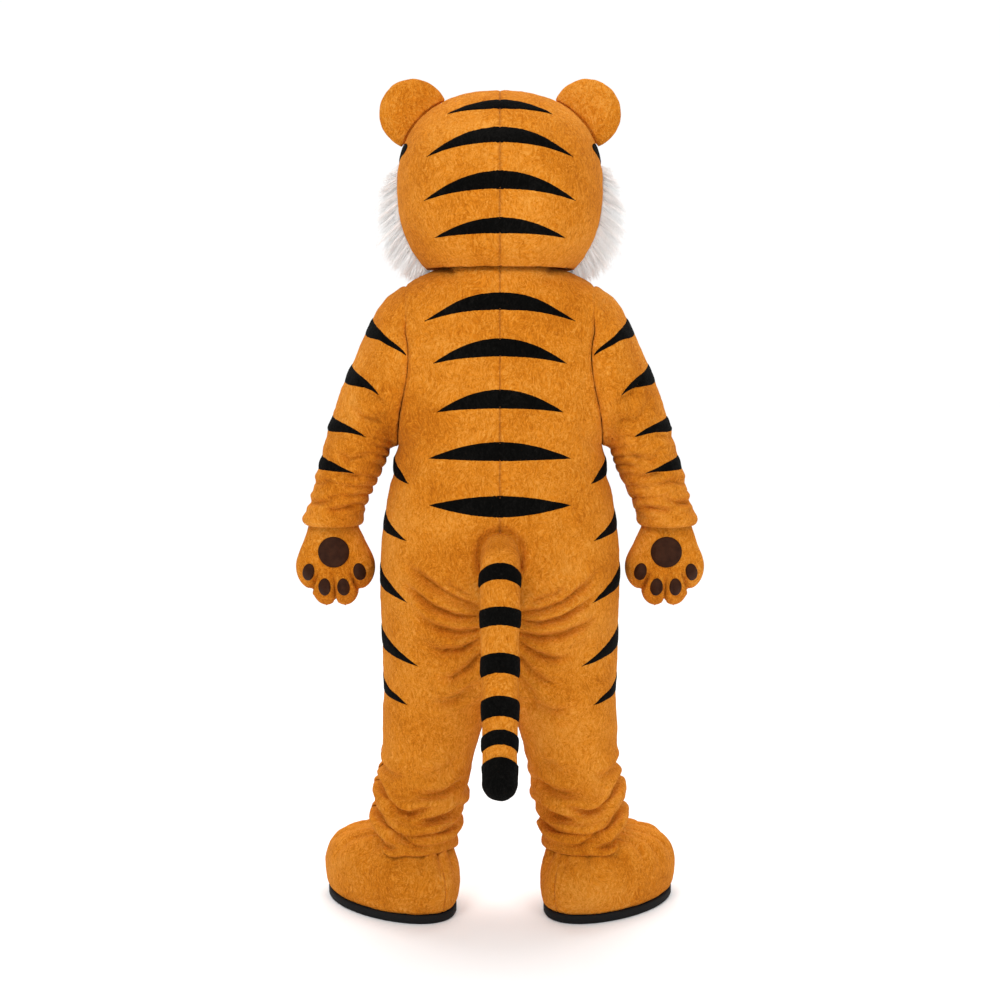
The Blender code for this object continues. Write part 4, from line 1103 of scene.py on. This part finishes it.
pads = dict(lift=0.0010, crown=0.0065, fingerCrown=0.9, tuck=0.006, wall=0.0012)
fingerPads = (      # x, height, half width, half height, tilt
    (0.3290, 0.804, 0.0142, 0.0208, 14),
    (0.3665, 0.768, 0.0145, 0.0213, 4),
    (0.4110, 0.768, 0.0145, 0.0213, -4),
    (0.4490, 0.803, 0.0142, 0.0208, -14),
)
palmPad = (0.3885, 0.8515, 0.0365, 0.0365, 0)
fingerGrooves = (      # depth, width, then x and height from the notch up between two fingers
    (0.017, 0.0034, ((0.3885, 0.720), (0.3885, 0.740), (0.3885, 0.772), (0.3885, 0.806))),
    (0.017, 0.0034, ((0.3300, 0.748), (0.3360, 0.764), (0.3440, 0.786), (0.3560, 0.816))),
    (0.017, 0.0034, ((0.4470, 0.748), (0.4410, 0.764), (0.4330, 0.786), (0.4210, 0.816))),
)


plump = dict(reach=0.0060, x=0.018, z=0.024, drape=0.0015)


def gloveRelief(points, flatness=1.0):
    # flatness is 1 on the palm and back and 0 round the edge
    x, height = np.abs(points[..., 0]), points[..., 2]
    total = 0.6 * pileRelief(points)
    reach = np.clip((0.835 - height) / 0.03, 0, 1)
    for depth, width, path in fingerGrooves:
        total += creases(((depth, width, path),), x, height) * np.clip((0.815 - height) / 0.012, 0, 1)
    for px, pz, *_ in fingerPads:      # each finger is plump
        swell = bell((x - px) / plump["x"]) * bell((height - pz) / plump["z"])
        total += plump["reach"] * reach * flatness * swell
    total += plump["drape"] * noiseAt(points, (16, 16, 22), 6.6) * np.clip((height - 0.83) / 0.05, 0, 1)
    return total


def fingertipFaces(rows, count, total, outward):
    # these close the flat end between the palm and the back
    first, faces = (rows - 1) * total, []
    for k in range(count - 1):
        one, two = first + k, first + k + 1
        far, near = first + (total - k) % total, first + total - k - 1
        face = [one, two] + [near] * (k < count - 2) + [far] * (k > 0)
        faces.append(face if outward < 0 else face[::-1])
    return faces


def makeGloves():
    shares = np.sin(np.linspace(-pi / 2, pi / 2, 91))
    vs = np.concatenate([np.linspace(0, 0.2, 9)[:-1], np.linspace(0.2, 0.9, 54)[:-1],
                         1 - 0.1 * (1 - np.sin(np.linspace(0, pi / 2, 14))) ** 1.4])
    for word, side in sides:
        v, s = mesh(vs, shares)
        back, front = glovePoint(side, s, v, -1), glovePoint(side, s[:, 1:-1][:, ::-1], v[:, 1:-1], 1)
        base = np.concatenate([back, front], 1)
        n, outward = facingOut(base, np.array((side * glove["x"], glove["y"], glove["middle"])))
        n[-1] = (0, 0, -1)
        relief = gloveRelief(base, n[..., 1] ** 2) * np.clip((1 - v.max(1)) * 12, 0, 1)[:, None]
        sewPanel(f"glove{word}", base, n, relief, outward, gloveWall, True,
                 extra=fingertipFaces(len(vs), len(shares), base.shape[1], outward))
        makePads(word, side)


def palmDepth(x, height):
    # y of the glove's palm side at places on it
    low, high = np.full_like(x, 0.02), np.full_like(x, 0.999)
    for _ in range(22):      # v by height along the middle of the finger, then its share across
        v = (low + high) / 2
        shareLow, shareHigh = np.full_like(x, -1.0), np.full_like(x, 1.0)
        for _ in range(18):
            share = (shareLow + shareHigh) / 2
            short = glovePoint(1, share, v, -1)[..., 0] < x
            shareLow, shareHigh = np.where(short, share, shareLow), np.where(short, shareHigh, share)
        point = glovePoint(1, share, v, -1)
        low, high = np.where(point[..., 2] > height, v, low), np.where(point[..., 2] > height, high, v)
    return point[..., 1]


def makePads(word, side):
    shares = np.sin(np.linspace(0, pi / 2, 14))[::-1]
    rs, spins = mesh(shares[:-1], np.linspace(0, 2 * pi, 44, endpoint=False))
    for k, (px, pz, halfWidth, halfHeight, tilt) in enumerate((palmPad,) + fingerPads):
        a, b = rs * np.cos(spins) * halfWidth, rs * np.sin(spins) * halfHeight
        c, s = cos(radians(tilt)), sin(radians(tilt))
        x, z = px + a * c + b * s, pz - a * s + b * c
        y = palmDepth(x, z)
        skin = join3(x, y, z)
        rise = gloveRelief(skin)
        crown = pads["lift"] + pads["crown"] * root(1 - rs ** 2, 0.42)
        if k > 0:
            crown = crown * pads["fingerCrown"]
        points = join3(side * x, y - rise - crown, z)
        middle = points[-1].mean(0)
        name = f"palmPad{word}" if k == 0 else f"fingerPad{word}{k}"
        rim = points[:1] + (0, pads["tuck"], 0)      # the rim is sunk into the palm
        points = np.concatenate([rim, points])
        made = thicken(gridPiece(name, points, side, True, (("last", middle),)), pads["wall"])
        finishPiece(made, padSkin, k == 0)


toes = dict(grooves=(0.0, radians(24), radians(-24)), height=0.085, reach=0.045, depth=0.0070, width=0.007)
pleats = dict(count=7, height=0.155, reach=0.042, depth=0.0170)
bootRadius = 0.17      # turns times this are about metres along the boot's outline


def bootRelief(points, turn, height):
    total = pileRelief(points) + 0.0016 * noiseAt(points, (12, 12, 16), 8.1)
    ankle = bell((height - pleats["height"]) / pleats["reach"])      # gathered at the ankle
    waves = np.abs(np.sin(turn * pleats["count"] + 1.6 * noiseAt(points, (9, 9, 0), 1.7) + 0.6)) ** 0.7 - 0.7
    total += pleats["depth"] * ankle * waves * (0.65 + 0.5 * noiseAt(points, (12, 12, 12), 5.0))
    window = bell((height - toes["height"]) / toes["reach"]) * (np.abs(turn) < 1.2)
    for at in toes["grooves"]:
        total -= toes["depth"] * window * bell((turn - at) * bootRadius / toes["width"])
    heel = (turn % (2 * pi)) - pi
    total -= 2 * seam["depth"] * bell(heel * bootRadius / seam["width"])
    total -= 0.0035 * bell((height - 0.0215) / 0.0035)      # drawn in where the sole is sewn on
    return total


def makeBoots():
    # finer at the heel seam
    turns = stepped((0, pi - 0.12, 66), (pi - 0.12, pi + 0.12, 28), (pi + 0.12, 2 * pi, 66))[:-1]
    heel = 80
    heights = stepped((0.0205, 0.03, 5), (0.03, 0.15, 24), (0.15, 0.225, 26))
    for word, side in sides:
        hs, ts = mesh(heights, turns)
        base = bootPoint(side, ts, hs)
        n, outward = facingOut(base, base.mean(1, keepdims=True))
        relief = bootRelief(base, np.where(ts > pi, ts - 2 * pi, ts), hs)
        name = f"boot{word}"
        points = sewPanel(name, base, n, relief, outward, bootWall, True)
        seamPaths[name] = (points[:24, heel], n[:24, heel])
        rings = np.array([bootPoint(side, turns, np.full_like(turns, height), inset, sole["halfLength"],
                                    sole["halfWidth"], 0.0) for height, inset in soleEdge])
        centre = rings[0].mean(0)
        made = gridPiece(f"sole{word}", rings, outward, True,
                         (("first", centre), ("last", centre + (0, 0, sole["thickness"]))))
        finishPiece(made, soleRubber)


makeGloves()
makeBoots()
print("gloves, pads and boots made")


tailLine = (      # y and height of the middle, radius
    (-0.200, 0.868, 0.043),
    (-0.243, 0.846, 0.044),
    (-0.273, 0.800, 0.044),
    (-0.289, 0.740, 0.043),
    (-0.303, 0.668, 0.041),
    (-0.326, 0.588, 0.040),
    (-0.355, 0.512, 0.038),
    (-0.394, 0.444, 0.037),
    (-0.421, 0.413, 0.036),
)
tailLevels = tuple((k, *row) for k, row in enumerate(tailLine))
tailShape = dict(tip=0.862, clearance=0.009, bandArch=0.013, tipArch=0.022, inside=0.90, bandLift=0.0030,
                 bandTuck=0.0034, bandWall=0.0022, tipLift=0.0026, seamDepth=0.0022, seamWidth=0.0040)
tailBands = ((0.155, 0.225), (0.325, 0.400), (0.500, 0.570), (0.643, 0.715), (0.762, 0.815))


def seatAt(x, height):
    outer, _, behind, _, middle = readTable(body, height)
    return middle - behind * root(1 - np.minimum(np.abs(x) / outer, 1.0) ** sectionPower, 1 / sectionPower)


def tailPoint(angle, share):
    place = share * (len(tailLine) - 1)
    y, z, radius = readTable(tailLevels, place)
    ahead, behind = readTable(tailLevels, place + 0.05), readTable(tailLevels, place - 0.05)
    alongY, alongZ = ahead[0] - behind[0], ahead[1] - behind[1]
    size = np.hypot(alongY, alongZ)
    alongY, alongZ = alongY / size, alongZ / size
    x = radius * np.cos(angle)
    py = y - alongZ * radius * np.sin(angle)
    pz = z + alongY * radius * np.sin(angle)
    return join3(x, np.minimum(py, seatAt(x, pz) - tailShape["clearance"]), pz)


def tailRelief(points, angle):
    total = pileRelief(points, 0.9) + 0.0016 * noiseAt(points, (20, 20, 14), 2.9)
    seamed = tailShape["seamDepth"] * bell(points[..., 0] / tailShape["seamWidth"])
    return total - (np.sin(angle) < 0) * seamed


def arched(angles):
    # the rings of the tail sit higher at its middle, on the side away from the seat
    return np.where(np.sin(angles) < 0, np.cos(angles) ** 2, 1)


def makeTail():
    angles = np.linspace(0, 2 * pi, 56, endpoint=False)
    shares = np.linspace(0.03, tailShape["inside"], 120)
    ss, angs = mesh(shares, angles)
    base = tailPoint(angs, ss)
    rootRing = []
    for flare, sink in ((0.99, -0.014), (1.0, -0.004), (1.0, 0.004)):      # sewn to the seat
        x = tailLine[0][2] * flare * np.cos(angles)
        z = tailLine[0][1] - tailLine[0][2] * 1.1 * flare * np.sin(angles)
        rootRing.append(join3(x, seatAt(x, z) - sink, z))
    base = np.concatenate([np.array(rootRing), base])
    n = normalsOf(base, -1, True)
    relief = tailRelief(base, np.concatenate([np.repeat(angles[None], 3, 0), angs]))
    relief[:3] = 0
    points = base + n * relief[..., None]
    made = gridPiece("tail", points, -1, True, (("first", points[0].mean(0)), ("last", points[-1].mean(0))))
    finishPiece(made, orange)
    makeTailTip(angles)
    makeTailBands(angles)


def makeTailTip(angles):
    shares = np.linspace(tailShape["tip"] + 0.0012, 1.0, 20)
    ss, angs = mesh(shares, angles)
    tube = tailPoint(angs, ss + tailShape["tipArch"] * arched(angs) * (1 - ss) / (1 - shares[0]))
    last = tube[-1]
    near = last.mean(0)
    along = near - tube[-4].mean(0)
    along /= np.linalg.norm(along)
    radius = tailLine[-1][2]
    cap = [near + (last - near) * cos(t) + along * radius * sin(t) for t in np.linspace(0, pi / 2, 14)[1:-1]]
    base = np.concatenate([tube, np.array(cap)])
    n = normalsOf(base, -1, True)
    points = base + n * (pileRelief(base, 0.9) + tailShape["tipLift"])[..., None]
    ends = (("first", points[0].mean(0)), ("last", near + along * radius))
    made = gridPiece("tailTip", points, -1, True, ends)
    finishPiece(made, black)

def makeTailBands(angles):
    across = np.abs(np.linspace(-1, 1, 18))[:, None]
    for k, (start, stop) in enumerate(tailBands, 1):
        ss, angs = mesh(np.linspace(start, stop, 18), angles)
        wave = 0.0016 * noiseAt(tailPoint(angs, ss), (160, 160, 0), k * 3.0)      # an uneven cut edge
        ss = ss + wave * np.abs(2 * (ss - start) / (stop - start) - 1)
        base = tailPoint(angs, ss + tailShape["bandArch"] * arched(angs))
        relief = tailRelief(base, angs) + tailShape["bandLift"] - tailShape["bandTuck"] * across ** 6
        sewPanel(f"tailBand{k}", base, normalsOf(base, -1, True), relief, -1, tailShape["bandWall"],
                 True, black)


backStripes = (      # height of the middle, height lost at the tips, tip x, half height
    (1.430, 0.036, 0.168, 0.022),
    (1.328, 0.036, 0.149, 0.023),
    (1.214, 0.030, 0.141, 0.024),
    (1.098, 0.018, 0.159, 0.024),
    (0.976, 0.000, 0.158, 0.027),
)
headStripes = (      # the same columns
    (1.857, 0.020, 0.116, 0.013),
    (1.786, 0.044, 0.160, 0.020),
    (1.688, 0.040, 0.166, 0.022),
    (1.592, 0.024, 0.144, 0.019),
)
flankStripes = (      # height at the side, height at the tips, share of the panel to the tips, half height
    (1.056, 1.020, 0.42, 0.024),
    (0.932, 0.892, 0.47, 0.026),
    (0.805, 0.752, 0.49, 0.030),
    (0.658, 0.606, 0.55, 0.030),
    (0.546, 0.512, 0.34, 0.024),
)
# level at the outside, level at the tips, angle to the tips, half width in levels, bend, fullness
sleeveStripes = (
    (1.95, 0.10, 1.43, 0.27, 1.45, 0.50),
    (3.20, 1.78, 1.68, 0.24, 1.42, 0.58),
    (4.40, 3.44, 1.80, 0.20, 1.25, 0.65),
    (5.45, 4.95, 1.86, 0.25, 1.10, 0.70),
)
stripe = dict(lift=0.0017, tuck=0.0030, tip=0.0012, wall=0.0020, along=85, across=11, ragged=0.035)


def crescent(s):
    return 1 - np.abs(s) ** 1.9


def pointed(s):
    # a stripe that turns round the side
    return 1 - np.abs(s) ** 1.4


def sewStripe(name, surface, place, relief, outward, profile=crescent, inFrame=True):
    # place(s, t) gives the surface's two numbers for shares along and across the stripe
    shares = [np.sin(np.linspace(-pi / 2, pi / 2, stripe[way])) for way in ("across", "along")]
    ts, ss = mesh(*shares)
    full = np.maximum(profile(ss), 0.015)
    ragged = 1 + stripe["ragged"] * noiseAt(join3(ss * 22, ts * 1.2, 0 * ss), 1.0, len(name) * 3.3 + outward)
    a, b = place(ss, ts * full * ragged)
    step = 2e-4
    base = surface(a, b)
    wide = surface(a + step, b) - surface(a - step, b)
    down = surface(a, b + step) - surface(a, b - step)
    n = np.cross(wide, down) * outward
    n /= np.maximum(np.linalg.norm(n, axis=-1, keepdims=True), 1e-12)
    # the edges are turned under and the thin tips lie close
    rise = stripe["lift"] - stripe["tuck"] * np.abs(ts) ** 5 * np.clip(full * 3, 0, 1)
    rise = relief(base, a, b) + (rise - stripe["tip"] * np.clip(1 - full * 6, 0, 1))
    middle = (len(base) // 2, base.shape[1] // 2)
    spin = normalsOf(base + n * rise[..., None], 1)[middle].dot(n[middle])
    sewPanel(name, base, n, rise, 1 if spin > 0 else -1, stripe["wall"], finish=black,
             inFrame=inFrame)


def turnAt(across, height, wide, depth):
    # how far round a section a place lies; 0 at the middle of the back and 1 at the armhole or side
    turn = np.arcsin(np.minimum(np.abs(across) / wide, 1.0) ** (sectionPower / 2)) * 2 / pi
    return turn / (1 - armholeTurn(height, depth) * 2 / pi)


def makeBackStripes():
    def bothBacks(turn, v):
        side = np.where(turn >= 0, 1, -1)
        return torso(side, -1, np.abs(turn), v)
    for k, (height, drop, reach, half) in enumerate(backStripes, 1):
        def place(s, t):
            z = height - drop * s * s + t * half
            low = np.minimum(z, cut["chest"])
            outer, _, behind, _, _ = readTable(body, low)
            turn = turnAt(s * reach, low, outer, behind)
            return np.where(s >= 0, turn, -turn), levelOf(z, cut["neckTop"])
        sewStripe(f"backStripe{k}", bothBacks, place, lambda p, a, b: suitRelief(p, -1), -1)


def makeHeadStripes():
    def bothHeads(turn, polar):
        return head(np.where(turn >= 0, 1, -1), np.abs(turn) - pi / 2, polar)
    for k, (height, drop, reach, half) in enumerate(headStripes, 1):
        def place(s, t):
            polar = polarOf(height - drop * s * s + t * half)
            width = headShape["width"] * np.sin(polar) ** (2 / headShape["power"])
            turn = np.arcsin(np.minimum(np.abs(s) * reach / width, 1.0) ** (sectionPower / 2))
            return np.where(s >= 0, turn, -turn), polar
        sewStripe(f"headStripe{k}", bothHeads, place, lambda p, a, b: headRelief(p), -1)


sideWedge = dict(height=1.764, drop=0.040, start=radians(-25), end=radians(46), half=0.023)


def makeSideWedges():
    for word, side in sides:
        def place(s, t):
            share = (s + 1) / 2      # from behind the side seam round to the face
            angle = sideWedge["start"] + (sideWedge["end"] - sideWedge["start"]) * share
            height = sideWedge["height"] + sideWedge["drop"] * (0.35 - share) * 0.5 + t * sideWedge["half"]
            return angle, polarOf(height)

        def wedge(s):      # fullest a third of the way round
            share = (s + 1) / 2
            return root(np.sin(pi * (share * 0.93) ** 0.62), 0.85)
        sewStripe(f"sideWedge{word}", partial(head, side), place, lambda p, a, b: headRelief(p), -side,
                  wedge, False)


def makeFlankStripes():
    for word, side in sides:
        def roundSide(turn, v):
            behind, before = torso(side, -1, 1 - np.abs(turn), v), torso(side, 1, 1 - np.abs(turn), v)
            return np.where((turn < 0)[..., None], behind, before)

        def relief(points, a, b):
            gap = np.abs(a) * 0.42
            return np.where(a < 0, suitRelief(points, -1, gap), suitRelief(points, 1, gap))
        for k, (height, tipHeight, reach, half) in enumerate(flankStripes, 1):
            def place(s, t):
                z = height + (tipHeight - height) * np.abs(s) ** 1.4 + t * half
                return s * reach, 1 + cut["chest"] - z
            sewStripe(f"flankStripe{word}{k}", roundSide, place, relief, -side,
                      pointed)


def makeSleeveStripes():
    for word, side in sides:
        for k, (level, tipLevel, reach, half, bend, fullness) in enumerate(sleeveStripes, 1):
            def across(s):      # how far the stripe has come from the arm's outline
                return (1 - np.cos(s * reach)) / (1 - cos(reach))

            def place(s, t):
                return s * reach, level + (tipLevel - level) * across(s) ** bend + t * half
            sewStripe(f"sleeveStripe{word}{k}", partial(sleeve, side), place, armRelief, side,
                      lambda s: root(1 - across(s), fullness))


def makeStitches():
    path, n = seamPaths["suitBackRight"]
    keep = path[:, 2] > 0.90
    middle = path[keep] * (0, 1, 1)
    stitchRow("centreBackStitches", middle + n[keep] * 0.0003, n[keep])
    path, n = seamPaths["headBackRight"]
    stitchRow("headSeamStitches", (path * (0, 1, 1) + n * 0.0003)[14:-8], n[14:-8])
    for word, side in sides:
        path, n = seamPaths[f"boot{word}"]
        stitchRow(f"heelStitches{word}", path + n * 0.0006, n, 0.0085)


makeTail()
makeBackStripes()
makeHeadStripes()
makeSideWedges()
makeFlankStripes()
makeSleeveStripes()
makeStitches()
print("tail, stripes and stitches sewn")
